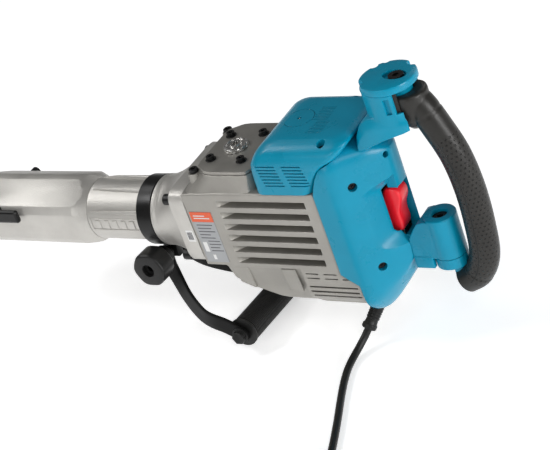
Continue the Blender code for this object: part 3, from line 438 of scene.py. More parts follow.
# Every CAD node starts with the finish of its material slot; the pieces below replace most of them.
CAD_LOOK = {"teal_plastic": "teal", "cast_aluminium": "cast", "barrel_aluminium": "barrel",
            "black_plastic": "black", "soft_grip": "rubber", "black_steel": "black_steel",
            "bright_steel": "steel", "red_plastic": "red", "copper": "copper", "brass": "brass"}
slot_of = {s["node"]: s["material_slot"] for s in frame["record"]["subparts"]}
for name, node in frame["nodes"].items():
    node.data.materials.clear()
    node.data.materials.append(LOOKS[CAD_LOOK[slot_of[name]]])

# --- Camera, floor and light ---

AZIMUTH, ELEVATION, ROLL = (math.radians(a) for a in (43.0, 28.1, -22.4))
DISTANCE, LENS, SENSOR, SHIFT = 2.099, 111.27, 36.0, (0.2145, -0.0302)
back = Vector((math.sin(AZIMUTH) * math.cos(ELEVATION), -math.cos(AZIMUTH) * math.cos(ELEVATION),
               math.sin(ELEVATION)))
right = Vector((math.cos(AZIMUTH), math.sin(AZIMUTH), 0.0))
up = back.cross(right)
right, up = (math.cos(ROLL) * right + math.sin(ROLL) * up, -math.sin(ROLL) * right + math.cos(ROLL) * up)
camera = bpy.data.objects.new("camera", bpy.data.cameras.new("camera"))
bpy.context.scene.collection.objects.link(camera)
camera.data.lens, camera.data.sensor_width = LENS, SENSOR
camera.data.shift_x, camera.data.shift_y = SHIFT
camera.data.clip_start, camera.data.clip_end = 0.05, 50.0
camera.matrix_world = Matrix.Translation(at(0, 0, 0) + back * DISTANCE) @ Matrix(
    (right, up, back)).transposed().to_4x4()
bpy.context.scene.camera = camera

WHITE = (1.0, 1.0, 1.0, 1.0)
FLOOR_HALF, FLOOR_GLOW, WORLD_GLOW = 14.0, 0.52, 0.13
floor = bpy.data.objects.new("floor", bpy.data.meshes.new("floor"))
CORNERS = ((-1, -1), (1, -1), (1, 1), (-1, 1))
floor.data.from_pydata([(x * FLOOR_HALF, y * FLOOR_HALF, 0) for x, y in CORNERS], [], [(0, 1, 2, 3)])
bpy.context.scene.collection.objects.link(floor)
ground = bpy.data.materials.new("pale_floor")
ground.use_nodes = True
g = Nodes(ground)
g.link(g.mix(g.ramp(g.noise(1.5), 0.3, 0.7), (0.93, 0.93, 0.935), (0.95, 0.95, 0.955)),
       g.shader.inputs["Base Color"])
g.shader.inputs["Roughness"].default_value = 0.8
g.shader.inputs["Emission Color"].default_value = WHITE
g.shader.inputs["Emission Strength"].default_value = FLOOR_GLOW
floor.data.materials.append(ground)

world = bpy.data.worlds.new("studio")
bpy.context.scene.world = world
world.use_nodes = True
glow = world.node_tree.nodes["Background"]
glow.inputs["Color"].default_value = WHITE
glow.inputs["Strength"].default_value = WORLD_GLOW


def softbox(name, offset, power, wide, tall):
    """A rectangular light, aimed at the tool's middle from this far off."""
    light = bpy.data.lights.new(name, "AREA")
    light.shape, light.size, light.size_y = "RECTANGLE", wide, tall
    light.energy = power
    obj = bpy.data.objects.new(name, light)
    bpy.context.scene.collection.objects.link(obj)
    middle = Vector((0.05, 0.0, 0.17))
    obj.location = middle + Vector(offset)
    obj.rotation_euler = (middle - obj.location).to_track_quat("-Z", "Y").to_euler()


softbox("key_right", (2.7, -0.55, 0.55), 38, 0.9, 1.0)
softbox("high_right", (1.9, -1.5, 1.7), 12, 0.8, 0.8)
softbox("front_low", (-0.4, -2.7, 1.0), 15, 1.4, 0.6)
softbox("top_left", (-2.0, 0.4, 2.2), 10, 0.9, 0.7)
softbox("front_left", (-1.9, -0.85, 2.2), 24, 0.8, 0.8)
softbox("rim_back", (0.4, 2.4, 1.6), 8, 2.0, 0.8)
bpy.context.scene.view_settings.view_transform = "Standard"

# --- Nose and barrel ---

profile = [(34, 290), (40.5, 284.5), (43.4, 263), (44.4, 261), (47.5, 250), (47.5, 99.5), (47.0, 97.6),
           (44.6, 92), (41.2, 85.5), (39.0, 81.4), (20, 81.4), (20, 172), (30.3, 172), (30.3, 290)]
nose = turned("nose_body", profile, (0, 0, 0), (-1, 0, 0))
flats = prism("nose_flats", circle(43.7 / math.cos(math.pi / 6), 6, first=math.radians(32)), "x", -305, -60)
nose = combine(nose, "INTERSECT", [flats])
cut(nose, rod("pin_hole", 7.4, (-222, -60, 20), (-222, 60, 20)))
piece(nose, "barrel", replaces=["nose_housing"])

for k, (x, r) in enumerate(((-274.0, 42.9), (-268.0, 43.4))):
    piece(turned(f"nose_groove_ring_{k}", [(r - 1.0, -0.9), (r + 0.4, 0), (r - 1.0, 0.9)], (x, 0, 0),
                 ALONG), "barrel")


def blend_section(x, share):
    """A section of the barrel, from the round collar at share 0 to the squarish flange at share 1."""
    mid_z, half_z, squareness, count = 14.5, 50.5, 0.24, 96
    section = []
    for i in range(count):
        a = 2 * math.pi * i / count
        c, s = math.cos(a), math.sin(a)
        flat_y = CASE * math.copysign(abs(c) ** squareness, c)
        flat_z = mid_z + half_z * math.copysign(abs(s) ** squareness, s)
        section.append((x, COLLAR_R * c * (1 - share) + flat_y * share,
                        COLLAR_R * s * (1 - share) + flat_z * share))
    return section


def scaled(section, by):
    return [(x, y * by, z * by) for x, y, z in section]


barrel_rings = [scaled(blend_section(x, 0.0), BARREL_R / COLLAR_R) for x in (-81.0, -60, -30, 0, 21.7)]
barrel_rings += [scaled(blend_section(22.0, 0), 43.0 / COLLAR_R), blend_section(23.2, 0),
                 blend_section(29.0, 0), scaled(blend_section(30.2, 0), 43.4 / COLLAR_R)]
CONE_FROM, CONE_TO, CONE_RINGS = 31, 76.2, 12
for k in range(CONE_RINGS + 1):
    x = CONE_FROM + (CONE_TO - CONE_FROM) * k / CONE_RINGS
    barrel_rings.append(blend_section(x, 0.80 * ((x - 30) / 48) ** 1.7))
barrel_rings += [blend_section(76.4, 0.97), blend_section(77.8, 1.0), blend_section(97.0, 1.0),
                 scaled(blend_section(97.7, 1.0), 0.993)]
barrel = loft("barrel_body", barrel_rings)
FLANGE_SCREWS = ((-51.5, 51.0), (51.5, 51.0), (-54.0, -27.0), (54.0, -27.0))
cut(barrel, rod("bore", 31.0, (-90, 0, 0), (110, 0, 0), 64),
    *[rod("seat", 8.0, (40, y, z), (77, y, z), 32) for y, z in FLANGE_SCREWS])
piece(barrel, "barrel", replaces=["barrel_casting"])


def on_barrel(x, angle, out=0.0):
    """A point on the barrel: the angle is from straight down the plate's side, positive upwards."""
    a = math.radians(angle)
    return (x, -(BARREL_R + out) * math.cos(a), (BARREL_R + out) * math.sin(a))


def barrel_strip(name, x0, x1, angle, half0, half1, out):
    """A raised rib along the barrel that widens from x0 to x1."""
    rings, steps = [], 14
    for k in range(steps + 1):
        t = k / steps
        x = x0 + (x1 - x0) * t
        half = half0 + (half1 - half0) * t
        rise = out * min(1.0, 0.25 + 3.0 * t)
        rings.append([on_barrel(x, angle - half, -1.5), on_barrel(x, angle - half, rise * 0.5),
                      on_barrel(x, angle - half * 0.6, rise), on_barrel(x, angle + half * 0.6, rise),
                      on_barrel(x, angle + half, rise * 0.5), on_barrel(x, angle + half, -1.5)])
    return loft(name, rings)


for k, angle in enumerate((70.0, 27.0, 153.0, 110.0)):
    piece(barrel_strip(f"barrel_rib_{k}", -76, -0.6, angle, 1.0, 5.0, 3.4), "barrel", angle=50)


def steps_between(low, wide, steps):
    return [low + wide * i / steps for i in range(steps + 1)]


def panel_bar(name, side, x, low, wide, section):
    """A raised bar round the barrel; its section is pairs of distance along it and height."""
    return loft(name, [[on_barrel(x + along, a if side == 0 else side - a, out) for along, out in section]
                       for a in steps_between(low, wide, 10)])


# A panel of short bars in a thin frame, on either side of the barrel.
for side in (0, 180):
    for k, (low, high) in enumerate(((13.0, 15.0), (-10.0, -8.0))):
        section = ((low, -1), (low, 0.9), (high, 0.9), (high, -1))
        rings = [[on_barrel(x, a if side == 0 else side - a, out) for a, out in section]
                 for x in steps_between(-78, 76, 12)]
        piece(loft(f"panel_edge_{side}_{k}", rings), "barrel")
    for k in range(5):
        piece(panel_bar(f"panel_bar_{side}_{k}", side, -70 + 13.2 * k, -5.5, 16,
                        ((0, -1), (1.2, 1.1), (7.6, 1.1), (8.8, -1))), "barrel", angle=50)
    for k, x in enumerate((-78, -4)):
        piece(panel_bar(f"panel_end_{side}_{k}", side, x, -10, 25,
                        ((0, -1), (0, 0.9), (2, 0.9), (2, -1))), "barrel")

# --- Clamp band ---

profile = [(43.8, 0.9), (43.1, 0.4), (39.2, 0.4), (39.2, 21.6), (43.1, 21.6), (43.8, 20.9)]
band = turned("band_ring", profile, (0, 0, 0), ALONG, turn=hung)
ears = [bevel(box(f"ear_{s}", (0.4, min(s * 1.5, s * 12), -62), (21.6, max(s * 1.5, s * 12), -40),
                  turn=hung), 2.0) for s in (-1, 1)]
join(band, *ears)
cut(band, rod("bolt_hole", 5.3, (10, -40, -51), (10, 40, -51), turn=hung),
    box("split", (-5, -1.5, -70), (30, 1.5, -30), turn=hung))
piece(band, "black_steel", "side_clamp", ["clamp_band"])

# --- Crankcase and motor housing ---

BOSS_X, BOSS_Y = 115.5, 42
side_view = [(98.0, -36), (126, -36), (131, -55), (150, -67), (200, -86), (225, BOTTOM), (299.5, BOTTOM),
             (299.5, -57), (279.5, -42), (279.5, 67), (150, 67), (98.0, 65)]
housing = bevel(prism("housing_body", side_view, "y", -CASE, CASE), 2.2, 3)
lower = [(-CASE - 5, BOTTOM - 5), (-CASE - 5, -64), (-CASE, -70), (-CASE + 2.5, -77), (-CASE + 7, -83.5),
         (-CASE + 13, -89), (-CASE + 21, -92.5), (-CASE + 30, BOTTOM - 5)]
cut(housing, prism("corner_left", lower, "x", 100, 310),
    prism("corner_right", [(-y, z) for y, z in lower], "x", 100, 310))
profile = [(0, 84.8), (5.6, 84.8), (5.8, 85.2), (5.6, 88.6), (5.0, 89.2), (2.9, 89.2), (2.7, 86.4), (0, 86.4)]
for k, y in enumerate((-BOSS_Y, BOSS_Y)):
    piece(turned(f"boss_screw_{k}", profile, (BOSS_X, y, 0), UP, 40), "black_steel")
foot = rounded([(99, -50), (109, -60.4), (202, -60.4), (202, 60.4), (109, 60.4), (99, 50)], 2, 0.12)
top = rounded([(117, -38), (137, -53), (200, -53), (200, 53), (137, 53), (117, 38)], 2, 0.12)
case_top = loft("case_top", [[(x, y, z) for x, y in foot] for z in (55, 65)]
                + [[(x, y, z) for x, y in top] for z in (84.5, 85.4)]
                + [[(x * 0.994 + 1, y * 0.985, 86) for x, y in top]])
join(housing, case_top, *[turned("top_boss", [(0, 0), (9.4, 0), (8.2, 30), (7.4, 34.6), (0, 34.6)],
                                 (BOSS_X, y, 50), UP) for y in (-BOSS_Y, BOSS_Y)])
cut(housing, *[rod("boss_hole", 3.6, (BOSS_X, y, 72), (BOSS_X, y, 90), 24) for y in (-BOSS_Y, BOSS_Y)])
CRANK_X, COUNTER_X, MOTOR_X = 165, 205, 240
cut(housing, post("chamber", 30.0, CRANK_X, -18.6, 95, 64),
    rod("passage", 27.0, (92, 0, 0), (CRANK_X, 0, 0)),
    post("bearing_seat", 20.3, CRANK_X, -40, -15),
    post("gear_room", 31.5, CRANK_X, -52, -38, 64),
    post("stub_room", 11.5, CRANK_X, -58, -50, 32),
    post("counter_room", 28.5, COUNTER_X, -72, -37.5, 64),
    box("pinion_room", (COUNTER_X, -11, -70), (250, 11, -45)),
    post("motor_chamber", 38.0, MOTOR_X, -31, 80, 64),
    post("lower_bearing", 13.3, MOTOR_X, -50, -25),
    rod("guard_notch", 9.8, GUARD_FROM, GUARD_TO, 32))
recesses = []
for s in (-1, 1):
    slope = [(s * (CASE + 6), -36.5), (s * (CASE - 1.6), -36.5), (s * (CASE - 6.5), -104),
             (s * (CASE + 6), -112)]
    recesses.append(bevel(prism("recess", slope, "x", 118, 228.5), 1.2, 3))
cut(housing, *recesses)
louvres = []
for s in (-1, 1):
    for i in range(6):
        z, near, deep = 52.5 - i * 15.8, s * (CASE + 3), s * (CASE - 16.0)
        outline = [(144.0, near), (145.5, s * (CASE - 0.4)), (160, deep), (265, deep), (265, near)]
        louvres.append(bevel(prism(f"louvre_{i}", outline, "z", z - 4.6, z + 4.4), 1.0, 2))
    y0, y1 = sorted((s * (CASE - 5), s * (CASE + 3)))
    for z, row in ((-42.7, (232.5, 256.5)), (-49.0, (232.5, 256.5, 279.5))):
        for x in row:
            louvres.append(box("short_vent", (x, y0, z - 0.9), (min(x + 17, 290), y1, z + 0.9)))
    y0, y1 = sorted((s * 48, s * (CASE + 3)))
    for z, x0 in ((-61.0, 232), (-67.6, 232), (-74.4, 233)):
        louvres.append(box("long_vent", (x0, y0, z - 1.2), (296, y1, z + 1.2)))
cut(housing, *louvres)
piece(housing, "cast", replaces=["gear_housing"])
for s in (-1, 1):
    y0, y1 = sorted((s * (CASE - 3), s * (CASE - 0.15)))
    rib = prism("rib", [(200.5, -38), (219.5, -38), (221.5, -69), (202.5, -69)], "y", y0, y1)
    piece(bevel(rib, 1.0, 2), "cast")
for s, name in ((-1, "near"), (1, "far")):
    y0, y1 = sorted((s * (CASE - 12), s * (CASE - 0.6)))
    boss = bevel(prism(f"foot_boss_{name}", [(131.5, -35), (154, -35), (156, -69), (137, -60)], "y", y0,
                       y1), 2.0, 3)
    piece(boss, "cast")

COVER_SCREWS = ((131.5, -25), (131.5, 25), (175.5, -28), (175.5, 28))
CAP_X = 153
cover = prism("case_cover", rounded([(118, -37.5), (137.4, -52), (199, -52), (199, 52), (137.4, 52),
                                     (118, 37.5)], 2, 0.12), "z", 86.3, 90)
bevel(cover, 0.9, 3)
cut(cover, post("oil_hole", 10, CAP_X, 60, 110),
    *[rod("screw_seat", 5.3, (x, y, 88), (x, y, 99), 32) for x, y in COVER_SCREWS])
piece(cover, "cast", replaces=["crank_cover"])
profile = [(6.6, 90.05), (6.6, 90.7), (6.2, 91.0), (5.4, 91.0), (5.4, 90.05)]
for k, (x, y) in enumerate(COVER_SCREWS):
    piece(turned(f"cover_washer_{k}", profile, (x, y, 0), UP, 48), "black_steel")
profile = [(0, -6), (9.7, -6), (9.7, 0.4), (15, 0.4), (15, 3.4), (14.2, 4.6), (11.4, 5.2), (11.0, 4.2),
           (7.4, 4.2), (7.0, 6.0), (0, 6.0)]
cap = turned("oil_cap_body", profile, (CAP_X, 0, 90), UP)
cut(cap, *[rod("cap_notch", 1.9, (x, y, 91), (x, y, 99), 20) for x, y in circle(15.2, 10, (CAP_X, 0))],
    prism("cap_hex", circle(4.4, 6, (CAP_X, 0)), "z", 92, 99))
piece(cap, "steel", "oil_cap", ["oil_cap"])

# --- Rating plate and sticker, without lettering ---

PLATES = (("plate_back", "plate_grey", (102, -61.9, -31), (132.5, -61.45, 41)),
          ("plate_top", "plate_orange", (102, -62.1, 27), (132.5, -61.7, 41)),
          ("sticker_back", "plate_white", (85.5, -61.75, -2.5), (95.6, -61.2, 14)),
          ("plate_code", "plate_white", (105, -62.1, -16), (111, -61.8, -2)),
          ("plate_code_2", "plate_white", (113, -62.1, -27), (117, -61.8, -20)))
for name, look, low, high in PLATES:
    piece(bevel(box(name, low, high), 0.15, 1), look)
for k in range(9):
    z, wide = 22.5 - 4.6 * k, (22, 19, 23, 15, 20, 17, 21, 13, 18)[k]
    x0 = 106 if k < 5 else 114
    piece(box(f"plate_line_{k}", (x0, -62.08, z - 0.55), (min(x0 + wide, 130.5), -61.8, z + 0.55)),
          "plate_ink")
for k in range(5):
    piece(box(f"sticker_line_{k}", (87 + 1.5 * k, -61.95, 0.5), (87.8 + 1.5 * k, -61.6, 11)), "plate_ink")
for k in range(2):
    piece(box(f"plate_band_line_{k}", (106, -62.28, 31.6 + 3.4 * k), (128 - 6 * k, -62.0, 33 + 3.4 * k)),
          "plate_white")

# --- Motor cover ---


def cover_ring(z, inset, front, back):
    """A level outline of the motor cover, a rectangle with round corners."""
    half, r, steps = COVER_HALF - inset, 14.0, 10
    points = []
    for x, y, first in ((front + r, r - half, 180), (back - r, r - half, 270), (back - r, half - r, 0),
                        (front + r, half - r, 90)):
        for step in range(steps):
            a = math.radians(first + 90 * step / (steps - 1))
            points.append((x + r * math.cos(a), y + r * math.sin(a), z))
    return points


# Height, inset and front of the cover's levels, then height and back of the same levels.
LEVELS = 26
fronts = smooth_path([(67.3, 0, 203), (98, 0, 205), (108, 1, 209), (118, 5, 217), (125, 12, 227),
                      (128.5, 20, 238)], LEVELS)
backs = smooth_path([(67.3, 279, 0), (98, 300, 0), (108, 316, 0), (118, 328, 0), (125, COVER_BACK, 0),
                     (128.5, 326, 0)], LEVELS)
rings = [cover_ring(a.x, max(0.0, a.y), a.z, min(b.y, COVER_BACK)) for a, b in zip(fronts, backs)]
rings += [cover_ring(128.8, 26, 246, 320), cover_ring(128.9, 34, 256, 312)]
motor_cover = loft("motor_cover_body", rings)
hollow = loft("cover_hollow", [cover_ring(64, 4, 207, 275), cover_ring(96, 4, 209, 275),
                               cover_ring(112, 8, 219, 290), cover_ring(121, 18, 233, 300)])
vents = [hollow]
for s in (-1, 1):
    y0, y1 = sorted((s * 59.8, s * 66))
    for row in range(7):
        z = 79.5 + 4.15 * row
        for column in (0, 1):
            x = 217.5 + 33.5 * column + 0.9 * (6 - row)
            vents.append(box("inlet", (x, y0, z - 0.7), (x + 25.5, y1, z + 0.7)))
for first_y, pitch, front, front_step, back, back_step in ((-30.5, 2.9, 275.5, 0.45, 294.5, 0.1),
                                                           (-3.5, 3.1, 270.5, 0.2, 290.5, -0.1)):
    for k in range(9):
        y = first_y + pitch * k
        vents.append(box("top_slit", (front + front_step * k, y - 0.45, 127.3),
                         (back + back_step * k, y + 0.45, 131)))
DISC_X, TOP_SCREW_X, TOP_SCREW_Y = 252, 303, 47.5
vents.append(turned("disc_groove", [(17.6, 127.9), (17.6, 131), (18.4, 131), (18.4, 127.9)],
                    (DISC_X, 0, 0), UP))
vents.append(post("disc_hole", 2.6, DISC_X, 127, 131, 32))
for y in (-TOP_SCREW_Y, TOP_SCREW_Y):
    vents.append(rod("screw_well", 5.2, (TOP_SCREW_X, y, 118), (TOP_SCREW_X, y, 131), 40))
cut(motor_cover, *vents)
piece(motor_cover, "teal", replaces=["motor_cover"])


def screw(name, centre, axis, radius, look="black_steel"):
    """The head of a cross-head screw, facing along the axis."""
    head = turned(name, [(0, -3), (radius * 0.7, -3), (radius, -0.4), (radius * 0.86, 0.5), (0, 0.9)],
                  centre, axis, 40)
    axis, u, v = frame_of(axis)
    c = Vector(centre)
    arms = []
    for a, b in ((u, v), (v, u)):
        ring = [c + a * radius * 0.55 * p + b * radius * 0.14 * q for p, q in CORNERS]
        arms.append(loft("arm", [[tuple(p + axis * h) for p in ring] for h in (-1.6, 3)]))
    cut(head, *arms)
    return piece(head, look)


for k, y in enumerate((-TOP_SCREW_Y, TOP_SCREW_Y)):
    screw(f"cover_top_screw_{k}", (TOP_SCREW_X, y, 120.6), UP, 4.2)
screw("cover_disc_screw", (DISC_X, 0, 127.2), UP, 2.3, "steel")

# --- Rear housing ---

# Each station's x, half width, top, shoulder depth, bottom and lower corner.
STATIONS = ((279.8, 62, 108, 20, -108, 26), (300, 62.5, 112, 20, -115, 26), (312, 58, 112, 20, -107, 24),
            (325, 46.5, 110, 20, -92, 20), (339, 33, 106, 16, -75, 14), (349, 21, 100, 12, -58, 8),
            (355, 12, 95, 8, -46, 5))


def rear_ring(x, half, top_z, shoulder, bottom, corner):
    left = [(0, top_z), (-half * 0.7, top_z), (-half * 0.9, top_z - shoulder * 0.35),
            (-half, top_z - shoulder), (-half, (top_z + bottom) / 2 + 8), (-half, bottom + corner + 18),
            (-half * 0.93, bottom + corner), (-half * 0.62, bottom + 8), (-half * 0.30, bottom), (0, bottom)]
    outline = left + [(-y, z) for y, z in left[-2:0:-1]]
    return [(x, y, z) for y, z in rounded(outline, 2, 0.22)]


def rear_envelope():
    """The rear housing's outside, a little larger, which cuts what is fitted round it."""
    return loft("envelope", [rear_ring(x + 0.6, h + 0.6, t + 0.6, s, b - 0.6, c)
                             for x, h, t, s, b, c in STATIONS])


REAR_RINGS = 31
uppers = smooth_path([s[:3] for s in STATIONS], REAR_RINGS)
lowers = smooth_path([s[3:] for s in STATIONS], REAR_RINGS)
rear_rings = [rear_ring(a.x, min(a.y, COVER_HALF), a.z, b.x, b.y, b.z) for a, b in zip(uppers, lowers)]
rear_rings += [rear_ring(356.8, 8.5, 94, 8, -44, 5), rear_ring(357.6, 4.5, 92, 8, -42, 5)]
rear = bevel(loft("rear_body", rear_rings), 2.0, 3, 40)
hollow = loft("rear_hollow", [rear_ring(x, h - 4, t - 4, s, b + 4, c) for x, (_, h, t, s, b, c) in zip(
    (273.5, 298, 308, 320, 332, 340, 345), STATIONS)])
foot_room = prism("foot_room", [(259, -41.7), (279.8, -41.7), (299.8, -56.7), (299.8, -130), (259, -130)],
                  "y", -90, 90)
cover_room = loft("cover_room", [cover_ring(40, -0.5, 190, 279.2), cover_ring(98, -0.5, 190, 300.4),
                                 cover_ring(108, 0.6, 190, 316.4), cover_ring(118, 4.6, 190, 328.4),
                                 cover_ring(150, 4.6, 190, 332.8)])
slot = bevel(box("trigger_slot", (320, -12.5, -21), (376, 12.5, 46)), 4.0, 3)
# The finger scoop beside the trigger is deepest in the middle and fades out at both ends.
SCOOP_LOW, SCOOP_TALL, SCOOP_RINGS = -44, 122, 23
scoop_rings = []
for k in range(SCOOP_RINGS + 1):
    z = SCOOP_LOW + SCOOP_TALL * k / SCOOP_RINGS
    share = min(1.0, max(0.0, (z + 42) / 34)) * min(1.0, max(0.0, (74 - z) / 28))
    share = share * share * (3 - 2 * share)
    outside = [(322, -62), (328, -53), (342, -41), (352, -30), (360, -20), (364, -11.8)]
    inside = [(319, -58), (325.6, -46.2), (329.0, -38.5), (333.4, -29.5), (338.4, -19.5), (341.6, -11.8)]
    ring = [(x0 + (x1 - x0) * share, y0 + (y1 - y0) * share, z)
            for (x0, y0), (x1, y1) in zip(outside, inside)]
    scoop_rings.append(ring + [(400, -11.8, z), (400, -80, z), (330, -80, z)])
scoop = loft("scoop", scoop_rings)
cut(rear, hollow, foot_room, cover_room, slot, scoop)
# Screw wells on the far side: a place, and the way out of it. The third has no screw to be seen.
WELLS = (((323.6, 47.4, 68.6), (0.68, -0.73, 0)), ((326.4, 45.2, -40.1), (0.70, -0.71, 0)),
         ((350, 11, 88), (0.9, -0.3, 0.1)))
wells = []
for s in (-1, 1):
    for (x, y, z), (a, b, c) in WELLS:
        p, d = Vector((x, s * y, z)), Vector((a, -s * b, c))
        wells.append(rod("well", 5.4 if z < 80 else 3.6, p - d * 9, p + d * 14, 40))
wells.append(rod("guard_hole", 9.6, GUARD_FROM, GUARD_TO, 40))
cut(rear, *wells)
piece(rear, "teal", replaces=["rear_shell_left", "rear_shell_right"])
for s in (-1, 1):
    for k, ((x, y, z), (a, b, c)) in enumerate(WELLS[:2]):
        d = Vector((a, -s * b, c)).normalized()
        screw(f"rear_screw_{'near' if s < 0 else 'far'}_{k}", Vector((x, s * y, z)) - d * 5.0, d, 4.6)

outline = [(331, -16), (338, -18), (345, -14.5), (347, -6), (345.6, 4), (347.6, 14), (353, 24), (354, 33),
           (350, 40), (342, 42), (333, 40), (329, 20), (329, 0)]
trigger = prism("trigger_body", rounded(outline), "y", -11, 11)
bevel(trigger, 3.0, 4, 50)
piece(trigger, "red", "trigger", ["trigger"], angle=60)

# --- Mounts of the bow handle ---

mount = turned("upper_drum", [(0, 134), (31.4, 134), (31.8, 135), (31.8, 171.4), (31.3, 172), (0, 172)],
               (DRUM_X, 0, 0), UP)
arm_rings = []
for x, w, low, high in ((336.5, 33, 105, 124), (343, 33, 105, 136), (353, 34, 110, 144),
                        (372, 34, 118, 148), (394, 30, 124, 148), (401, 26, 126, 147)):
    outline = [(-w, low), (0, low - 1), (w, low), (w, high - 13), (w - 5.5, high), (5.5 - w, high),
               (-w, high - 13)]
    arm_rings.append([(x, y, z) for y, z in rounded(outline, 2, 0.12)])
join(mount, loft("upper_arm", arm_rings))
cut(mount, rear_envelope(), post("cavity", 28, DRUM_X + 2, 141, 190, 64),
    prism("window", [(PIVOT_X + 3, -22), (PIVOT_X + 50, -34), (PIVOT_X + 50, 34), (PIVOT_X + 3, 22)], "z",
          90, 190),
    prism("open_side", [(392.5, -60), (440, -60), (440, 26), (393, 26)], "z", 148.5, 172.1),
    *[box("pocket", (383, y0, 149.5), (389.5, y1, 168)) for y0, y1 in ((-50, -28.2), (28.2, 50))],
    post("bolt_hole", 6.3, PIVOT_X, 80, 200, 32))
piece(mount, "teal", replaces=["upper_mount"])
lid = turned("upper_lid", [(0, 172.3), (DRUM_R - 0.5, 172.3), (DRUM_R, 172.9), (DRUM_R, 178.4),
                           (DRUM_R - 0.7, 180.2), (DRUM_R - 2.6, 181), (0, 181)], (DRUM_X, 0, 0), UP)
oval = [(PIVOT_X - 1.5 + 14.5 * math.cos(a) - 2 * math.sin(a), 10.0 * math.sin(a))
        for a in (2 * math.pi * i / 48 for i in range(48))]
cut(lid, prism("lid_oval", oval, "z", 177.2, 185),
    post("lid_hole", 6.3, PIVOT_X, 160, 190, 32), post("lid_seat", 9.0, PIVOT_X, 176, 190),
    *[rod("notch", r, (DRUM_X + x, y, 173.6), (DRUM_X + x, y, 186), 32) for x, y, r in (
        (-31, -19, 9.5), (-25.5, 19.5, 5.6), (-14.5, 29.0, 4.6), (19.5, 26.5, 7.5))])
piece(lid, "teal", replaces=["upper_mount_lid"])

lower = turned("lower_drum", [(0, -49), (18.4, -49), (19, -48.4), (19, 1.6), (18.3, 2.6), (17, 3), (0, 3)],
               (PIVOT_X, 0, 0), UP)
web = [(342, -48), (PIVOT_X, -48), (PIVOT_X, 0.8), (374, 0.8), (366, -1.5), (360, -9), (352, -21),
       (342, -22)]
join(lower, bevel(prism("web", web, "y", -17.8, 17.8), 1.2, 3),
     bevel(box("plate", (351, -18.5, -61), (374, 18.5, -45)), 1.2, 3))
cut(lower, rear_envelope(), post("knuckle_room", 19.6, PIVOT_X, -80, -49.01, 64),
    post("bolt_hole", 6.3, PIVOT_X, -62, 20, 32),
    turned("bolt_seat", [(0, -6), (9, -6), (9, 2), (11, 4), (0, 4)], (PIVOT_X, 0, 0), UP, 48))
piece(lower, "teal", replaces=["lower_mount"])

# --- Bow grip ---

BOW = ((390, 154), (399, 151), (408, 141), (418, 117), (430, 80), (435, 36), (434, -10), (429, -50),
       (416, -75), (399, -86))
bow_path = [(p.x, p.y, p.z) for p in smooth_path([(x, 0, z) for x, z in BOW], 120)][5:]


def bow_radius(t):
    """The grip's radius: wider at its upper end, rounded off there, with a fine groove near each end."""
    r = 16.9 + 4.0 * math.exp(-(t / 0.085) ** 2)
    if t < 0.03:
        r -= 3.0 * (1 - t / 0.03) ** 2
    for seam_at in (0.235, 0.865):
        r -= 0.8 * math.exp(-((t - seam_at) / 0.005) ** 2)
    return r


bow = tube("bow_grip_body", bow_path, bow_radius, 64, uv=True)
profile = [(0, 116), (8, 118), (13.5, 124), (17.6, 132), (20.2, 142), (21.4, 151), (21.4, 159),
           (20.8, 161.6), (18.8, 163), (0, 163)]
join(bow, turned("bow_end", profile, (397, 0, 0), UP, 64))
cut(bow, box("flat_top", (360, -40, 163), (440, 40, 200)),
    box("arm_room", (360, -40, 100), (392.4, 40, 149)),
    rod("neck_bore", 8.6, (383.5, 0, 157.66), (419.5, 0, 138.5), 32),
    post("knuckle_room", 15.5, PIVOT_X, 130, 180), post("mount_room", 19.8, PIVOT_X, -62.35, 10))
piece(bow, "grip", "bow_handle", ["bow_grip"], angle=60)

# --- Side handle ---

CLAMP, GRIP = (CLAMP_X, CLAMP_Z), (GRIP_X, GRIP_Z)
ROUTE = [CLAMP, (CLAMP_X + 2, CLAMP_Z - 23), (CLAMP_X + 20, CLAMP_Z - 46), (CLAMP_X + 51, CLAMP_Z - 65),
         (GRIP_X - 24, GRIP_Z + 12), GRIP]
STRAP_HALF, STRAP_RINGS = 10.5, 60
CLAMP_OUT, GRIP_OUT = 22.0, 61.0        # how far out the straps lie at the clamp and at the grip
for s, name in ((-1, "left"), (1, "right")):
    path = smooth_path([(x, 0, z) for x, z in ROUTE], STRAP_RINGS)
    rings = []
    for i, p in enumerate(path):
        ahead = path[min(i + 1, STRAP_RINGS - 1)] - path[max(i - 1, 0)]
        across = Vector((-ahead.z, 0, ahead.x)).normalized()
        t = min(1.0, max(0.0, (i / (STRAP_RINGS - 1) - 0.16) / 0.62))
        flare = CLAMP_OUT + (GRIP_OUT - CLAMP_OUT) * (0.5 - 0.5 * math.cos(math.pi * t))
        section = []
        for u, v in rounded([(-STRAP_HALF, -2.25), (0, -2.25), (STRAP_HALF, -2.25), (STRAP_HALF, 2.25),
                             (0, 2.25), (-STRAP_HALF, 2.25)], 2, 0.15):
            q = p + across * u
            section.append((q.x, s * (flare + v), q.z))
        rings.append(section)
    strap = loft(f"strap_{name}", rings, turn=hung)
    for (x, z), y in ((CLAMP, CLAMP_OUT), (GRIP, GRIP_OUT)):
        a, b = sorted((s * (y - 2.2), s * (y + 2.2)))
        join(strap, rod("eye", STRAP_HALF, (x, a, z), (x, b, z), 64, turn=hung))
        cut(strap, rod("eye_hole", 5.3, (x, a - 20, z), (x, b + 20, z), 32, turn=hung))
    piece(strap, "strap", "side_handle", [f"side_strap_{name}"], angle=40)

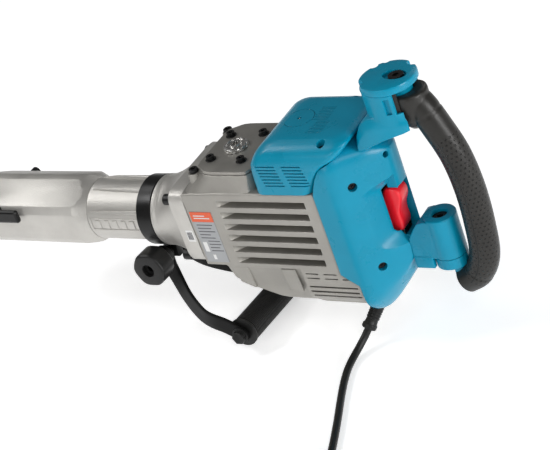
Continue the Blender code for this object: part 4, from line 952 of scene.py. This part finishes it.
profile = [(18.5, -57), (18.5, -54.5)]
y = -53.0
while y < 52.5:
    profile += [(16.0, y), (16.0, y + 0.9), (17.4, y + 1.2), (17.4, y + 2.2)]
    y += 2.55
profile += [(16.0, 53.4), (18.5, 54.5), (18.5, 57), (5.3, 57), (5.3, -57)]
side_grip = turned("side_grip_body", profile, (GRIP_X, 0, GRIP_Z), ACROSS, 72, turn=hung)
piece(side_grip, "rubber", "side_handle", ["side_grip"], angle=30)
for s, name in ((-1, "left"), (1, "right")):
    profile = [(0, s * 71.0), (6.2, s * 71.0), (7.9, s * 69.6), (8.2, s * 66.0), (10.5, s * 65.6),
               (10.5, s * 63.7), (0, s * 63.7)]
    piece(turned(f"grip_nut_{name}", profile, (GRIP_X, 0, GRIP_Z), ACROSS, 48, turn=hung), "black_steel",
          "side_handle")

lobes = []
for a in (2 * math.pi * i / 120 for i in range(120)):
    r = 22.2 + 0.5 * math.cos(6 * a)
    lobes.append((CLAMP_X + r * math.cos(a), CLAMP_Z + r * math.sin(a)))
knob = bevel(prism("knob_body", lobes, "y", -64, -37.5, turn=hung), 3.2, 4, 50)
join(knob, rod("knob_neck", 13, (CLAMP_X, -40, CLAMP_Z), (CLAMP_X, -24.6, CLAMP_Z), 64, turn=hung))
cut(knob, rod("knob_recess", 8.5, (CLAMP_X, -70, CLAMP_Z), (CLAMP_X, -57, CLAMP_Z), turn=hung),
    rod("knob_bore", 5.3, (CLAMP_X, -58.5, CLAMP_Z), (CLAMP_X, -10, CLAMP_Z), 32, turn=hung))
piece(knob, "black", "clamp_knob", ["clamp_knob"], angle=40)

# --- Cord: guard, free cord, coil and plug ---

CORD_Z = -AXIS_Z + CORD_D / 2 + 0.2
guard_way = (Vector(GUARD_TO) - Vector(GUARD_FROM)).normalized()
reach = (Vector(GUARD_TO) - Vector(GUARD_FROM)).length
exit_point = Vector(GUARD_TO) + 0.4 * guard_way
guard_profile = [(0, 0), (9.0, 0), (8.6, reach * 0.3)]
h = reach * 0.34
while h < reach - 12:
    r = 8.6 - 1.1 * h / reach
    guard_profile += [(r, h), (r, h + 2.0), (r - 0.7, h + 2.3), (r - 0.7, h + 3.0)]
    h += 3.3
guard_profile += [(7.6, reach - 7), (8.8, reach - 5.5), (8.9, reach - 1.4), (8.0, reach), (0, reach)]
guard = turned("cord_guard_body", guard_profile, GUARD_FROM, guard_way, 64)
piece(guard, "rubber", "tool", ["cord_guard"], angle=35)


def bezier(a, b, c, d, count):
    a, b, c, d = (Vector(p) for p in (a, b, c, d))
    return [(1 - t) ** 3 * a + 3 * t * (1 - t) ** 2 * b + 3 * t * t * (1 - t) * c + t ** 3 * d
            for t in (i / (count - 1) for i in range(count))]


COIL_X, COIL_Y, COIL_R = 269.0, -325.0, 49.0
# The route's points, each with its direction and how far its curve reaches back and ahead.
knots = [(exit_point, guard_way, 0, 22), ((267, -94, CORD_Z), (0.22, -0.97, 0), 22, 30),
         ((300, -190, CORD_Z), (0.33, -0.94, 0), 35, 30),
         ((COIL_X + COIL_R + CORD_D, COIL_Y + 20, CORD_Z), (0, -1, 0), 40, 0)]
cord_path = []
for (here, way, _, out), (there, onward, into, _) in zip(knots, knots[1:]):
    here, way, there, onward = (Vector(v) for v in (here, way, there, onward))
    cord_path += bezier(here, here + way.normalized() * out, there - onward.normalized() * into, there,
                        15)[bool(cord_path):]
# The turns lie a diameter apart: out to in on the floor, in to out on top of them, and back in.
LAYERS, LAYER_TURNS, STEPS = 3, 2.5, 28
COIL_DEPTH, LAYER_RISE = 18.6, CORD_D + 0.25
for i in range(1, int(LAYERS * LAYER_TURNS * STEPS) + 1):
    turn = i / STEPS
    layer = min(int(turn // LAYER_TURNS), LAYERS - 1)
    within = turn - layer * LAYER_TURNS
    inward = within / LAYER_TURNS if layer % 2 == 0 else 1 - within / LAYER_TURNS
    r = COIL_R + CORD_D - COIL_DEPTH * inward
    lift = layer
    if layer < LAYERS - 1:
        lift += min(1.0, max(0.0, (within - 2.2) / 0.3))
    a = -2 * math.pi * turn
    cord_path.append(Vector((COIL_X + r * math.cos(a), COIL_Y + r * math.sin(a), CORD_Z + lift * LAYER_RISE)))
cord = tube("cord_body", cord_path, CORD_D / 2, 20)
piece(cord, "cord", "tool", ["cord", "cord_coil"], angle=60)

PLUG_X, PLUG_Y, PLUG_Z = COIL_X + COIL_R + CORD_D, COIL_Y - 88, -AXIS_Z + 18.8
profile = [(0, 42), (6.2, 42), (6.8, 36), (6.3, 35), (7.4, 31), (6.9, 30), (9.5, 26), (16.2, 15),
           (18.2, 6), (18.5, 0.8), (17.6, -3), (0, -3)]
plug = turned("plug_body", profile, (PLUG_X, PLUG_Y, PLUG_Z), ACROSS, 64)
piece(plug, "black", "tool", ["plug"])
for k, dx in enumerate((-9.5, 9.5)):
    piece(turned(f"plug_pin_{k}", [(0, -20.8), (1.6, -20.8), (2.4, -19.6), (2.4, -2.8), (0, -2.8)],
                 (PLUG_X + dx, PLUG_Y, PLUG_Z), ACROSS, 32), "steel")

bpy.context.view_layer.update()
